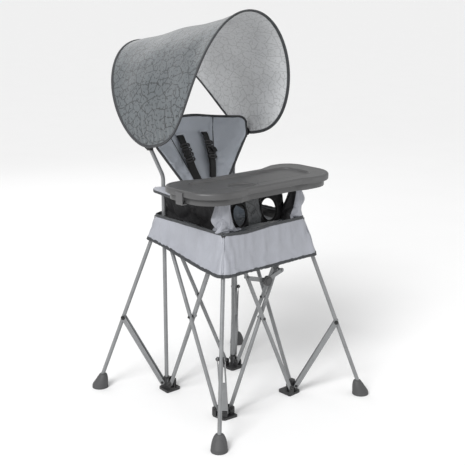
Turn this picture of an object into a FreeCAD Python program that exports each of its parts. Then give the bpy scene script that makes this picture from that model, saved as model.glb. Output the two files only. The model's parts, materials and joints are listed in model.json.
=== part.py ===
import FreeCAD, Part
import math
import os

# Portable folding high chair: a four-cornered scissor frame with splayed legs, a fabric seat, a
# clip-on tray and a sprung sun canopy.  Millimetres, +Z up, the child faces -Y, the child's right
# is -X.  Z = 0 is the ground; the origin is the bottom centre of the whole object's box.

V = FreeCAD.Vector
UP = V(0, 0, 1)
doc = FreeCAD.newDocument("FoldingHighChair")
sheet = doc.addObject("Spreadsheet::Sheet", "Dims")

DIMENSIONS = [
    ("centre_y", -64.0, "y of the frame's centre in the row frame"),
    ("half_pitch", 150.0, "corner posts from the frame's centre"),
    ("tube_dia", 13.0, "arms, legs and posts"),
    ("tube_wall", 1.2, "tube wall"),
    ("bolt_dia", 6.0, "pivot bolts"),
    ("bolt_gap", 0.08, "radial running clearance of a pivot bolt"),
    ("arm_inset", 24.0, "arm pins inboard of the corner"),
    ("arm_low_z", 27.0, "lower arm pins"),
    ("arm_high_z", 575.0, "upper arm pins"),
    ("arm_end", 8.0, "tube beyond its pin"),
    ("layer_gap", 14.5, "outer arm plane outboard of the inner one"),
    ("plate_thick", 3.0, "moulded clevis plate"),
    ("plate_gap", 0.4, "side clearance in a clevis"),
    ("ear_radius", 9.0, "clevis ear"),
    ("base_thick", 8.0, "hub base plate"),
    ("cap_thick", 7.0, "bracket top plate"),
    ("cap_z", 597.0, "underside of the bracket top plate"),
    ("boss_radius", 10.0, "post socket"),
    ("leg_inset", 13.2, "leg pin outboard of the corner, on x and on y"),
    ("leg_high_z", 588.0, "leg pin on the bracket"),
    ("leg_pin_z", 255.0, "strut pin on the leg"),
    ("foot_reach", 317.0, "leg axis at the ground, on x and on y"),
    ("foot_high", 50.0, "moulded foot"),
    ("strut_inset", 10.0, "strut pin outboard of the corner"),
    ("strut_low_z", 26.0, "strut pin on the hub"),
    ("strut_wide", 24.0, "strut channel"),
    ("strut_deep", 15.0, "strut flange"),
    ("strut_wall", 1.6, "strut sheet"),
    ("strut_slot", 105.0, "slot that takes the folded leg"),
    ("strut_hole", 4.4, "radius of the flange hole at the leg"),
    ("post_bend_z", 735.0, "post bends outward here"),
    ("post_high_z", 885.0, "top of the post"),
    ("post_flare", 50.0, "outward offset of the post top"),
    ("lock_z", 451.0, "lock link pins"),
    ("lock_sag", 20.0, "knob below the link pins"),
    ("knob_radius", 16.0, "lock knob"),
    ("tray_z", 729.0, "underside of the tray rim"),
    ("tray_high", 20.0, "tray rim"),
    ("tray_half", 280.0, "half the tray's width"),
    ("tray_front", 228.0, "tray's front edge ahead of the frame's centre"),
    ("tray_step", 12.0, "front edge set back between the end lobes"),
    ("tray_rear", 12.0, "rear edge of the end lobes"),
    ("tray_hollow", 14.0, "hollow of the rear edge ahead of the centre"),
    ("cup_dia", 92.0, "cup recess"),
    ("ring_high", 20.0, "tray carrier under the tray"),
    ("skirt_top_z", 605.0, "skirt and seat edge"),
    ("skirt_hem_z", 484.0, "skirt hem at the front"),
    ("hem_rise", 44.0, "rise of the hem from front to rear"),
    ("skirt_top_half", 180.0, "skirt half size at the seat edge"),
    ("skirt_hem_half", 203.5, "skirt half size at the hem"),
    ("cloth_thick", 3.0, "skirt and seat cloth with its binding"),
    ("canopy_z", 843.0, "canopy swivel axis"),
    ("canopy_half", 217.0, "half width of the canopy arch"),
    ("canopy_rise", 335.0, "arch ellipse height"),
    ("canopy_lift", 29.0, "arch ellipse centre above its lowest point"),
    ("canopy_ahead", 30.0, "lowest point of the arch ahead of the swivel axis"),
    ("canopy_front", 290.0, "depth of the sheet ahead of the crown"),
    ("canopy_rear", 278.0, "depth of the sheet behind the crown"),
    ("canopy_tilt", 11.5, "backward tilt of the arch in degrees"),
]
for row, (alias, value, note) in enumerate(DIMENSIONS, start=1):
    sheet.set(f"A{row}", note)
    sheet.set(f"B{row}", str(value))
    sheet.setAlias(f"B{row}", alias)
doc.recompute()
DIM = {alias: float(sheet.get(alias)) for alias, value, note in DIMENSIONS}

H = DIM["half_pitch"]
CY = DIM["centre_y"]
TUBE_R = DIM["tube_dia"] / 2
PIECES = []


# ---------------------------------------------------------------- helpers

def at(x, y, z):
    """A point given from the frame's centre on the ground."""
    return V(x, y + CY, z)


def bind(obj, **expressions):
    for name, expression in expressions.items():
        obj.setExpression(name, expression)
    return obj


def turned(point, z_axis, x_axis=None):
    """Placement with local Z along z_axis and, if given, local X near x_axis."""
    z_dir = V(z_axis).normalize()
    if x_axis is None:
        return FreeCAD.Placement(point, FreeCAD.Rotation(UP, z_dir))
    y_dir = z_dir.cross(V(x_axis)).normalize()
    return FreeCAD.Placement(point, FreeCAD.Rotation(y_dir.cross(z_dir), y_dir, z_dir, "ZXY"))


def cylinder(name, point, axis, radius, length, shift=0.0):
    """Cylinder from point along axis; shift moves its start along the axis."""
    obj = doc.addObject("Part::Cylinder", name)
    axis = V(axis).normalize()
    obj.Placement = turned(point + axis * shift, axis)
    return bind(obj, Radius=radius, Height=length)


def pin(name, point, axis, radius, length):
    """Cylinder centred on point, its length a number of millimetres."""
    obj = cylinder(name, point, axis, radius, "0", -length / 2)
    return bind(obj, Height=str(length))


def block(name, centre, size, placement=None):
    """Box centred on a point; size holds three expressions or numbers."""
    obj = doc.addObject("Part::Box", name)
    bind(obj, Length=str(size[0]), Width=str(size[1]), Height=str(size[2]))
    doc.recompute([obj])
    middle = V(obj.Length.Value / 2, obj.Width.Value / 2, obj.Height.Value / 2)
    base = placement if placement else FreeCAD.Placement()
    obj.Placement = FreeCAD.Placement(base.multVec(V(centre)), base.Rotation)
    obj.Placement.Base = obj.Placement.Base - base.Rotation.multVec(middle)
    return obj


def fuse(name, shapes):
    obj = doc.addObject("Part::MultiFuse", name)
    obj.Shapes = shapes
    obj.Refine = True
    return obj


def cut(name, base, tools):
    obj = doc.addObject("Part::Cut", name)
    obj.Base = base
    obj.Tool = tools[0] if len(tools) == 1 else fuse(name + "_tools", tools)
    return obj


def common(name, first, second):
    obj = doc.addObject("Part::MultiCommon", name)
    obj.Shapes = [first, second]
    return obj


def group(name, shapes):
    """Several separate solids kept together as one node."""
    obj = doc.addObject("Part::Compound", name)
    obj.Links = shapes
    return obj


def node(obj, label):
    obj.Label = label
    PIECES.append(obj)
    return obj


def rounded(points, radii):
    """Closed outline of lines and arcs through corner points with a radius at each corner."""
    lines = []
    arcs = []
    count = len(points)
    for i in range(count):
        corner = V(points[i][0], points[i][1], 0)
        before = V(points[i - 1][0], points[i - 1][1], 0) - corner
        after = V(points[(i + 1) % count][0], points[(i + 1) % count][1], 0) - corner
        half = before.getAngle(after) / 2
        reach = radii[i] / math.tan(half)
        start = corner + V(before).normalize() * reach
        end = corner + V(after).normalize() * reach
        bisector = (V(before).normalize() + V(after).normalize()).normalize()
        middle = corner + bisector * (radii[i] / math.sin(half) - radii[i])
        arcs.append((start, middle, end))
    for i in range(count):
        following = arcs[(i + 1) % count]
        lines.append(Part.Arc(*arcs[i]))
        if (following[0] - arcs[i][2]).Length > 0.01:
            lines.append(Part.LineSegment(arcs[i][2], following[0]))
    return lines


def outline(name, geometry, placement):
    sketch = doc.addObject("Sketcher::SketchObject", name)
    sketch.addGeometry(geometry, False)
    sketch.Placement = placement
    return sketch


def plate(name, geometry, thick, placement):
    """Outline extruded along its local Z by an expression."""
    obj = doc.addObject("Part::Extrusion", name)
    obj.Base = outline(name + "_outline", geometry, placement)
    obj.DirMode = "Normal"
    obj.Solid = True
    return bind(obj, LengthFwd=str(thick))


def flat(z):
    return FreeCAD.Placement(at(0, 0, z), FreeCAD.Rotation())


def rectangle(half_x, front, rear, radius):
    points = [(-half_x, front), (half_x, front), (half_x, rear), (-half_x, rear)]
    return rounded(points, [radius] * 4)


def loft(name, sections, ruled=True):
    obj = doc.addObject("Part::Loft", name)
    obj.Sections = sections
    obj.Solid = True
    obj.Ruled = ruled
    return obj


BOLT = "Dims.bolt_dia / 2"
BOLT_HOLE = "Dims.bolt_dia / 2 + Dims.bolt_gap"


def tube(name, start, axis, length, crossings):
    """Round tube with a cross hole at each (point, axis) in crossings."""
    outer = cylinder(name + "_outer", start, axis, "Dims.tube_dia / 2", length)
    bore = cylinder(name + "_bore", start, axis, "Dims.tube_dia / 2 - Dims.tube_wall", length)
    holes = [
        pin(f"{name}_hole{i}", point, across, BOLT_HOLE, DIM["tube_dia"] + 6)
        for i, (point, across) in enumerate(crossings)
    ]
    return cut(name, outer, [bore] + holes)


def bolt(name, point, axis, grip):
    """Bolt with a domed cap on each end, grip being the distance between its caps."""
    cap = 3.0
    axis = V(axis).normalize()
    shank = pin(name + "_shank", point, axis, BOLT, grip)
    parts = [shank]
    for side in (-1, 1):
        face = point + axis * (side * grip / 2)
        dome = doc.addObject("Part::Cone", f"{name}_cap{side + 1}")
        bind(dome, Radius1="Dims.bolt_dia / 2 + 2", Radius2="Dims.bolt_dia / 2", Height=str(cap))
        dome.Placement = turned(face, axis * side)
        parts.append(dome)
    return fuse(name, parts)


# ---------------------------------------------------------------- corners

CORNERS = {
    "rear_right": (-1, 1),
    "rear_left": (1, 1),
    "front_right": (-1, -1),
    "front_left": (1, -1),
}
# The plane of each corner's arms: 0 inner, 1 outer, for the side panel along x and along y.
LOW_LAYERS = {
    "rear_right": (0, 0),
    "rear_left": (1, 0),
    "front_right": (0, 1),
    "front_left": (1, 1),
}
HIGH_LAYERS = {
    "rear_right": (1, 1),
    "rear_left": (0, 1),
    "front_right": (1, 0),
    "front_left": (0, 0),
}
CLEVIS_WIDE = DIM["tube_dia"] + 2 * (DIM["plate_thick"] + DIM["plate_gap"])
SLOT_WIDE = DIM["tube_dia"] + 2 * DIM["plate_gap"]


def arm_pin(corner, along, layer, z):
    """Pin point and pin axis of the arm that runs along x or y from this corner."""
    sx, sy = CORNERS[corner]
    inboard = H - DIM["arm_inset"]
    plane = H + layer * DIM["layer_gap"]
    if along == "x":
        return at(sx * inboard, sy * plane, z), V(0, 1, 0)
    return at(sx * plane, sy * inboard, z), V(1, 0, 0)


def outward(corner):
    sx, sy = CORNERS[corner]
    return V(sx, sy, 0).normalize()


def clevis(name, point, axis, ear, solid_z, slot_to_z):
    """Two-plate clevis: (solid, slot) around a pin, its solid reaching solid_z."""
    width = CLEVIS_WIDE
    across = UP.cross(axis)
    frame = FreeCAD.Placement(point, FreeCAD.Rotation(across, V(axis), UP, "ZXY"))
    drop = abs(point.z - solid_z)
    sign = 1 if solid_z > point.z else -1
    ear_round = pin(name + "_ear", point, axis, str(ear), width)
    body = block(name + "_body", V(0, 0, sign * drop / 2), (2 * ear, width, drop), frame)
    reach = abs(point.z - slot_to_z) + ear + 4
    middle = sign * (abs(point.z - slot_to_z) - ear - 4) / 2
    slot = block(name + "_slot", V(0, 0, middle), (2 * ear + 30, SLOT_WIDE, reach), frame)
    return [ear_round, body], slot


def strut_pin(corner):
    sx, sy = CORNERS[corner]
    reach = H + DIM["strut_inset"]
    return at(sx * reach, sy * reach, DIM["strut_low_z"])


def leg_point(corner, z):
    """Point of the leg's axis at height z."""
    sx, sy = CORNERS[corner]
    top = H + DIM["leg_inset"]
    reach = top + (DIM["foot_reach"] - top) * (DIM["leg_high_z"] - z) / DIM["leg_high_z"]
    return at(sx * reach, sy * reach, z)


def build_hub(corner):
    """Black moulded hub on the ground: base plate, post socket, strut lug and two clevises."""
    name = "hub_" + corner
    sx, sy = CORNERS[corner]
    ear = DIM["ear_radius"]
    base = DIM["base_thick"]
    inner = DIM["arm_inset"] + ear + 1
    outer = DIM["strut_inset"] + 10
    wide = DIM["layer_gap"] + CLEVIS_WIDE / 2
    points = [
        (sx * (H - inner), sy * (H + wide)),
        (sx * (H + outer), sy * (H + outer)),
        (sx * (H + wide), sy * (H - inner)),
        (sx * (H - inner), sy * (H - inner)),
    ]
    solids = [plate(name + "_base", rounded(points, [5, 9, 5, 9]), "Dims.base_thick", flat(0))]
    centre = at(sx * H, sy * H, 0)
    solids.append(cylinder(name + "_boss", centre, UP, "Dims.boss_radius", "45"))
    lug_at = strut_pin(corner)
    lateral = UP.cross(outward(corner))
    lug_wide = DIM["strut_wide"] - 2 * DIM["strut_wall"] - 0.6
    solids.append(pin(name + "_lug", lug_at, lateral, "7", lug_wide))
    frame = FreeCAD.Placement(lug_at, FreeCAD.Rotation(outward(corner), lateral, UP, "ZXY"))
    drop = DIM["strut_low_z"] - base / 2
    solids.append(block(name + "_web", V(-3.5, 0, -drop / 2), (15, lug_wide, drop), frame))
    solids.append(block(name + "_neck", V(-7, 0, 0), (14, lug_wide, 14), frame))
    tools = [pin(name + "_strut_hole", lug_at, lateral, BOLT_HOLE, 60)]
    for along, layer in zip("xy", LOW_LAYERS[corner]):
        point, axis = arm_pin(corner, along, layer, DIM["arm_low_z"])
        parts, slot = clevis(f"{name}_{along}", point, axis, ear, base / 2, base + 5)
        solids += parts
        tools.append(slot)
        tools.append(pin(f"{name}_{along}_hole", point, axis, BOLT_HOLE, 60))
    if sy > 0:
        tools.append(cylinder(name + "_socket", centre, UP, "Dims.tube_dia / 2", "60", base))
    return node(cut(name, fuse(name + "_solid", solids), tools), name)


def build_hub_bolts(corner):
    name = "hub_bolts_" + corner
    bolts = []
    for along, layer in zip("xy", LOW_LAYERS[corner]):
        point, axis = arm_pin(corner, along, layer, DIM["arm_low_z"])
        bolts.append(bolt(f"{name}_{along}", point, axis, CLEVIS_WIDE + 0.2))
    lateral = UP.cross(outward(corner))
    bolts.append(bolt(name + "_strut", strut_pin(corner), lateral, DIM["strut_wide"] + 0.6))
    return node(group(name, bolts), name)


def build_bracket(corner):
    """Moulded top bracket: cap plate, arm clevises with their pins, and leg ears.

    The rear brackets slide on the posts."""
    name = "bracket_" + corner
    sx, sy = CORNERS[corner]
    ear = DIM["ear_radius"]
    low = DIM["cap_z"]
    high = low + DIM["cap_thick"]
    inner = DIM["arm_inset"] + ear + 1
    wide = DIM["layer_gap"] + CLEVIS_WIDE / 2
    points = [
        (sx * (H - inner), sy * (H + wide)),
        (sx * (H + wide), sy * (H + wide)),
        (sx * (H + wide), sy * (H - inner)),
        (sx * (H - inner), sy * (H - inner)),
    ]
    solids = [plate(name + "_cap", rounded(points, [6, 9, 6, 9]), "Dims.cap_thick", flat(low))]
    centre = at(sx * H, sy * H, DIM["arm_high_z"] - ear)
    boss_high = high - DIM["arm_high_z"] + ear
    solids.append(cylinder(name + "_boss", centre, UP, "Dims.boss_radius", str(boss_high)))
    tools = []
    pins = []
    for along, layer in zip("xy", HIGH_LAYERS[corner]):
        point, axis = arm_pin(corner, along, layer, DIM["arm_high_z"])
        parts, slot = clevis(f"{name}_{along}", point, axis, ear, high - 1, low - 0.5)
        solids += parts
        tools.append(slot)
        pins.append(pin(f"{name}_{along}_pin", point, axis, BOLT, CLEVIS_WIDE + 3))
    leg_at = leg_point(corner, DIM["leg_high_z"])
    lateral = UP.cross(outward(corner))
    frame = FreeCAD.Placement(leg_at, FreeCAD.Rotation(outward(corner), lateral, UP, "ZXY"))
    ear_wide = DIM["tube_dia"] + 5.8
    solids.append(pin(name + "_leg_ear", leg_at, lateral, "6.5", ear_wide))
    rise = high - 1 - DIM["leg_high_z"]
    solids.append(block(name + "_leg_body", V(0, 0, rise / 2), (13, ear_wide, rise), frame))
    slot_high = low - 0.5 - DIM["leg_high_z"] + 14
    slot_mid = (low - 0.5 - DIM["leg_high_z"] - 14) / 2
    slot_size = (40, DIM["tube_dia"] + 0.8, slot_high)
    keep_boss = DIM["boss_radius"] - math.hypot(DIM["leg_inset"], DIM["leg_inset"])
    tools.append(block(name + "_leg_slot", V(keep_boss + 20, 0, slot_mid), slot_size, frame))
    tools.append(pin(name + "_leg_hole", leg_at, lateral, BOLT_HOLE, 50))
    if sy > 0:
        tools.append(cylinder(name + "_sleeve", at(sx * H, sy * H, 500), UP,
                              "Dims.tube_dia / 2 + 0.4", "200"))
    body = cut(name + "_body", fuse(name + "_solid", solids), tools)
    return node(fuse(name, [body] + pins), name)


# ---------------------------------------------------------------- tubes

ARM_LENGTH = (
    "sqrt((2 * (Dims.half_pitch - Dims.arm_inset)) ^ 2 + (Dims.arm_high_z - Dims.arm_low_z) ^ 2)"
    " + 2 * Dims.arm_end"
)
# side: (corner of the inner arm's foot, corner of the outer arm's foot, direction of the side)
SIDES = {
    "rear": ("rear_right", "rear_left", "x"),
    "right": ("rear_right", "front_right", "y"),
    "front": ("front_right", "front_left", "x"),
    "left": ("rear_left", "front_left", "y"),
}
SIDE_OUT = {"rear": V(0, 1, 0), "right": V(-1, 0, 0), "front": V(0, -1, 0), "left": V(1, 0, 0)}


def build_arm(side, layer):
    inner_foot, outer_foot, along = SIDES[side]
    foot, head = (inner_foot, outer_foot) if layer == 0 else (outer_foot, inner_foot)
    name = f"arm_{side}_{'outer' if layer else 'inner'}"
    low, axis = arm_pin(foot, along, layer, DIM["arm_low_z"])
    high = arm_pin(head, along, layer, DIM["arm_high_z"])[0]
    direction = (high - low).normalize()
    crossings = [(low, axis), ((low + high) * 0.5, axis), (high, axis)]
    if side == "front":
        share = (DIM["lock_z"] - low.z) / (high.z - low.z)
        crossings.append((low + (high - low) * share, axis))
    start = low - direction * DIM["arm_end"]
    return node(tube(name, start, direction, ARM_LENGTH, crossings), name)


def build_scissor_bolt(side):
    """Crossing bolt with a washer between the two arms."""
    out = SIDE_OUT[side]
    reach = H + DIM["layer_gap"] / 2
    middle_z = (DIM["arm_low_z"] + DIM["arm_high_z"]) / 2
    centre = at(out.x * reach, out.y * reach, middle_z)
    name = "scissor_bolt_" + side
    grip = DIM["layer_gap"] + DIM["tube_dia"] + 0.6
    washer = pin(name + "_washer", centre, out, "6", DIM["layer_gap"] - DIM["tube_dia"] - 0.3)
    shank = bolt(name + "_bolt", centre, out, grip)
    return node(fuse(name, [shank, washer]), name)


def build_leg(corner):
    name = "leg_" + corner
    top = leg_point(corner, DIM["leg_high_z"])
    direction = (leg_point(corner, 0) - top).normalize()
    lateral = UP.cross(outward(corner))
    start = top - direction * 5.0
    sole = leg_point(corner, 14.0)
    length = (sole - start).Length
    joint = leg_point(corner, DIM["leg_pin_z"])
    obj = tube(name, start, direction, f"{length}", [(top, lateral), (joint, lateral)])
    return node(obj, name)


def build_leg_bolts(corner):
    """Bolts held by one leg: the bracket pin, and the strut pin with a washer each side."""
    name = "leg_bolts_" + corner
    lateral = UP.cross(outward(corner))
    upper = bolt(name + "_upper", leg_point(corner, DIM["leg_high_z"]), lateral, 19.4)
    joint = leg_point(corner, DIM["leg_pin_z"])
    parts = [bolt(name + "_lower", joint, lateral, DIM["strut_wide"] + 3.4)]
    inner_face = DIM["strut_wide"] / 2 - DIM["strut_wall"] - 0.3
    for side in (-1, 1):
        outer_face = joint + lateral * (side * (DIM["strut_wide"] / 2 + 1.0))
        parts.append(pin(f"{name}_washer{side + 1}", outer_face, lateral, "7", 1.2))
        spacer_mid = joint + lateral * (side * (TUBE_R + inner_face) / 2)
        spacer_wide = inner_face - TUBE_R - 0.1
        parts.append(pin(f"{name}_spacer{side + 1}", spacer_mid, lateral, "6", spacer_wide))
    return node(group(name, [upper, fuse(name + "_joint", parts)]), name)


def build_foot(corner):
    """Moulded rubber foot, its toe pointing outward."""
    name = "foot_" + corner
    out = outward(corner)
    angle = math.degrees(math.atan2(out.y, out.x))
    sections = []
    profile = [(0.0, 27.0, 26.0, -7.0), (7.0, 27.0, 26.0, -5.5), (30.0, 21.5, 21.0, -4.0)]
    for i, (z, along, across, shift) in enumerate(profile):
        ring = doc.addObject("Part::Ellipse", f"{name}_ring{i}")
        bind(ring, MajorRadius=str(along), MinorRadius=str(across))
        ring.Placement = FreeCAD.Placement(leg_point(corner, z) + out * shift,
                                           FreeCAD.Rotation(UP, angle))
        sections.append(ring)
    collar = doc.addObject("Part::Ellipse", name + "_collar")
    bind(collar, MajorRadius="12.5", MinorRadius="12.5")
    collar.Placement = FreeCAD.Placement(leg_point(corner, DIM["foot_high"]),
                                         FreeCAD.Rotation(UP, angle))
    sections.append(collar)
    body = loft(name + "_body", sections)
    direction = (leg_point(corner, 100) - leg_point(corner, 0)).normalize()
    socket = cylinder(name + "_socket", leg_point(corner, 14.0), direction,
                      "Dims.tube_dia / 2", "80")
    return node(cut(name, body, [socket]), name)


def build_strut(corner):
    """Channel strut, open side up and inward, from the hub's lug to the leg."""
    name = "strut_" + corner
    low = strut_pin(corner)
    high = leg_point(corner, DIM["leg_pin_z"])
    along = (high - low).normalize()
    lateral = UP.cross(outward(corner))
    frame = FreeCAD.Placement(low, FreeCAD.Rotation(lateral.cross(along), lateral, along, "ZXY"))
    length = (high - low).Length
    deep, wide, wall = DIM["strut_deep"], DIM["strut_wide"], DIM["strut_wall"]
    gap = wide - 2 * wall
    size = ("Dims.strut_deep", "Dims.strut_wide", str(length))
    solid = [
        block(name + "_blank", V(0, 0, length / 2), size, frame),
        pin(name + "_end0", low, lateral, "Dims.strut_deep / 2", wide),
        pin(name + "_end1", high, lateral, "Dims.strut_deep / 2", wide),
    ]
    inside = V(-wall - 2, 0, length / 2)
    slot = DIM["strut_slot"]
    tools = [
        block(name + "_inside", inside, (deep + 4, gap, length + 60), frame),
        block(name + "_foot_trim", V(5, 0, 2), (deep, gap, 24), frame),
        block(name + "_head_trim", V(5, 0, length), (deep, gap, 34), frame),
        block(name + "_leg_slot", V(5, 0, length - slot / 2), (deep, 16, slot), frame),
        pin(name + "_hole0", low, lateral, BOLT_HOLE, wide + 4),
        pin(name + "_hole1", high, lateral, "Dims.strut_hole", wide + 4),
    ]
    return node(cut(name, fuse(name + "_solid", solid), tools), name)


def build_post(side, sx):
    """Rear post: straight from its hub, then flared outward to the backrest's top corner."""
    name = "post_" + side
    bend_z, high_z = DIM["post_bend_z"], DIM["post_high_z"]
    flare = DIM["post_flare"]
    route = [
        at(sx * H, H, DIM["base_thick"]),
        at(sx * H, H, bend_z),
        at(sx * (H + flare), H, bend_z + 100),
        at(sx * (H + flare), H, high_z),
    ]
    bend_radius = 60.0
    edges = []
    start = route[0]
    for i in (1, 2):
        before = (route[i - 1] - route[i]).normalize()
        after = (route[i + 1] - route[i]).normalize()
        half = before.getAngle(after) / 2
        reach = bend_radius / math.tan(half)
        bisector = (before + after).normalize()
        middle = route[i] + bisector * (bend_radius / math.sin(half) - bend_radius)
        edges.append(Part.LineSegment(start, route[i] + before * reach))
        edges.append(Part.Arc(route[i] + before * reach, middle, route[i] + after * reach))
        start = route[i] + after * reach
    edges.append(Part.LineSegment(start, route[3]))
    spine = doc.addObject("Part::Feature", name + "_spine")
    spine.Shape = Part.Wire([edge.toShape() for edge in edges])
    ring = doc.addObject("Part::Circle", name + "_ring")
    bind(ring, Radius="Dims.tube_dia / 2")
    ring.Placement = FreeCAD.Placement(route[0], FreeCAD.Rotation())
    sweep = doc.addObject("Part::Sweep", name)
    sweep.Sections = [ring]
    sweep.Spine = (spine, [f"Edge{i + 1}" for i in range(len(edges))])
    sweep.Solid = True
    return node(sweep, name)


def build_front_post(side, sx):
    """Short post on a front bracket, with a round head under the tray carrier."""
    name = "front_post_" + side
    foot_z = DIM["cap_z"] + DIM["cap_thick"]
    head_high = 6.0
    head_z = DIM["tray_z"] - DIM["ring_high"] - 1.4 - head_high
    stem_long = head_z - foot_z
    stem = cylinder(name + "_stem", at(sx * H, -H, foot_z), UP, "Dims.tube_dia / 2",
                    str(stem_long))
    head = cylinder(name + "_head", at(sx * H, -H, head_z), UP, "15", str(head_high))
    return node(fuse(name, [stem, head]), name)


# ---------------------------------------------------------------- front lock

def lock_pin(sx):
    """Where a lock link is pinned to its front arm; the child's right link is on the outer arm."""
    high, low = DIM["arm_high_z"], DIM["arm_low_z"]
    share = (DIM["lock_z"] - low) / (high - low)
    half = H - DIM["arm_inset"]
    return sx * (2 * share - 1) * half


LINK_THICK = 3.0
OUTER_FACE = H + DIM["layer_gap"] + TUBE_R + 0.6


def build_lock():
    """Two flat toggle links across the front scissor, and the round knob at their middle."""
    knob_z = DIM["lock_z"] - DIM["lock_sag"]
    faces = {"right": (-1, OUTER_FACE), "left": (1, OUTER_FACE + LINK_THICK + 0.4)}
    for side, (sx, face) in faces.items():
        name = "lock_link_" + side
        pin_x = lock_pin(sx)
        run = V(-pin_x, 0, -DIM["lock_sag"])
        length = run.Length
        frame = turned(at(pin_x, -face, DIM["lock_z"]), V(0, -1, 0), run)
        points = [(-7, -7), (length + 7, -7), (length + 7, 7), (-7, 7)]
        bar = plate(name + "_bar", rounded(points, [6.5] * 4), str(LINK_THICK), frame)
        plane = H + DIM["layer_gap"] * (1 if side == "right" else 0)
        shank_start = at(pin_x, -(plane - TUBE_R - 3.0), DIM["lock_z"])
        shank_long = face + LINK_THICK - plane + TUBE_R + 3.0
        shank = cylinder(name + "_shank", shank_start, V(0, -1, 0), BOLT, str(shank_long))
        parts = [bar, shank]
        collar_long = face - plane - TUBE_R - 0.3
        collar_at = at(pin_x, -(plane + TUBE_R + 0.3), DIM["lock_z"])
        parts.append(cylinder(name + "_collar", collar_at, V(0, -1, 0), "5", str(collar_long)))
        head_at = at(pin_x, -(face + LINK_THICK), DIM["lock_z"])
        parts.append(cylinder(name + "_head", head_at, V(0, -1, 0), "4.5", "2.2"))
        tail_at = at(pin_x, -(plane - TUBE_R - 0.4), DIM["lock_z"])
        parts.append(cylinder(name + "_tail", tail_at, V(0, 1, 0), "5", "2.6"))
        node(fuse(name, parts), name)
    face = faces["left"][1] + LINK_THICK
    knob_at = at(0, -face - 0.2, knob_z)
    knob = cylinder("lock_knob_body", knob_at, V(0, -1, 0), "Dims.knob_radius", "9")
    dome = cylinder("lock_knob_dome", knob_at, V(0, -1, 0), "Dims.knob_radius * 0.62", "12")
    node(fuse("lock_knob", [knob, dome]), "lock_knob")


# ---------------------------------------------------------------- tray

def tray_outline(inset):
    """Tray plan: wide end lobes, a front set back between them and a hollow for the child."""
    half = DIM["tray_half"] - inset
    front = -DIM["tray_front"] + inset
    middle_front = front + DIM["tray_step"]
    rear = DIM["tray_rear"] - inset
    hollow = -DIM["tray_hollow"] - inset
    right = [
        (150 - inset, front), (112 - inset, middle_front), (-112 + inset, middle_front),
        (-150 + inset, front),
    ]
    points = [(half, front)] + right + [
        (-half, front), (-half, rear), (-190 - inset, rear), (-120 - inset, hollow),
        (120 + inset, hollow), (190 + inset, rear), (half, rear),
    ]
    end, back = 100 - inset, 64 - inset
    radii = [end, 34, 34, 34, 34, end, back, 34, 34, 34, 34, back]
    return rounded(points[::-1], radii[::-1])


def build_tray():
    """One-piece moulded tray with a raised rim, a main recess and a cup recess."""
    z = DIM["tray_z"]
    shell = plate("tray_blank", tray_outline(0), "Dims.tray_high", flat(z))
    under = plate("tray_under", tray_outline(4), "Dims.tray_high - 13", flat(z - 1))
    recess = plate("tray_recess", rectangle(212, -168, -40, 30), "20", flat(z + 11))
    cup = cylinder("tray_cup", at(-74, -146, z + 8.5), UP, "Dims.cup_dia / 2", "20")
    return node(cut("tray", shell, [under, recess, cup]), "tray")


def build_ring():
    """Tray carrier: a moulded ring under the tray's rim that stands on the front posts."""
    z = DIM["tray_z"] - DIM["ring_high"] - 0.4
    outer = plate("ring_blank", tray_outline(14), "Dims.ring_high", flat(z))
    inner = rectangle(236, -186, -56, 40)
    hollow = plate("ring_hollow", inner, "60", flat(z - 20))
    parts = [cut("ring_open", outer, [hollow])]
    for sx in (-1, 1):
        parts.append(block(f"ring_saddle{sx + 1}", at(sx * H, -165, z + 4), (46, 80, 8)))
    return node(fuse("tray_carrier", parts), "tray_carrier")


def build_latches():
    """Side latches that clip the tray to its carrier."""
    for side, sx in (("right", -1), ("left", 1)):
        name = "tray_latch_" + side
        x = sx * (DIM["tray_half"] + 2.2)
        z = DIM["tray_z"]
        face = block(name + "_face", at(x, -100, z - 5), (3, 30, 38))
        hook_x = sx * (DIM["tray_half"] - 4.9)
        hook = block(name + "_hook", at(hook_x, -100, z - 22.5), (17.2, 30, 3))
        barrel = pin(name + "_barrel", at(x, -100, z + 12), V(0, 1, 0), "1.5", 34)
        node(fuse(name, [face, hook, barrel]), name)


# ---------------------------------------------------------------- soft parts

def build_skirt():
    """Flared cloth skirt round the top of the frame."""
    sections = {}
    thick = DIM["cloth_thick"]
    for key, inset in (("outer", 0.0), ("inner", thick)):
        pair = []
        for level, reach in (("top", "skirt_top_half"), ("hem", "skirt_hem_half")):
            half = DIM[reach] - inset
            z = DIM["skirt_top_z"] if level == "top" else DIM["skirt_hem_z"]
            geometry = rectangle(half, -half, half, 13 - inset)
            pair.append(outline(f"skirt_{key}_{level}", geometry, flat(z)))
        sections[key] = loft("skirt_" + key, pair)
    rise = math.degrees(math.atan(DIM["hem_rise"] / (2 * DIM["skirt_hem_half"])))
    middle = at(0, 0, DIM["skirt_hem_z"] + DIM["hem_rise"] / 2)
    slant = FreeCAD.Placement(middle, FreeCAD.Rotation(V(1, 0, 0), rise))
    below = block("skirt_below", V(0, 0, -40), (500, 500, 80), slant)
    return node(cut("skirt", sections["outer"], [sections["inner"], below]), "skirt")


def build_seat():
    """Fabric bucket: floor, sides, and a front panel with two leg openings."""
    low, high = 608.0, 700.0
    half, front, rear = 134.0, -118.0, 72.0
    middle_y = (front + rear) / 2
    size = (2 * half, rear - front, high - low)
    blank = block("seat_blank", at(0, middle_y, (low + high) / 2), size)
    inside_size = (2 * half - 8, rear - front - 8, high - low)
    inside = block("seat_inside", at(0, middle_y, (low + high) / 2 + 5), inside_size)
    holes = []
    for sx in (-1, 1):
        centre = at(sx * 64, front - 6, 655)
        hole = cylinder(f"seat_leg_hole{sx + 1}", centre, V(0, 1, 0), "31", "14")
        holes.append(hole)
    return node(cut("seat_bucket", blank, [inside] + holes), "seat_bucket")


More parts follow.
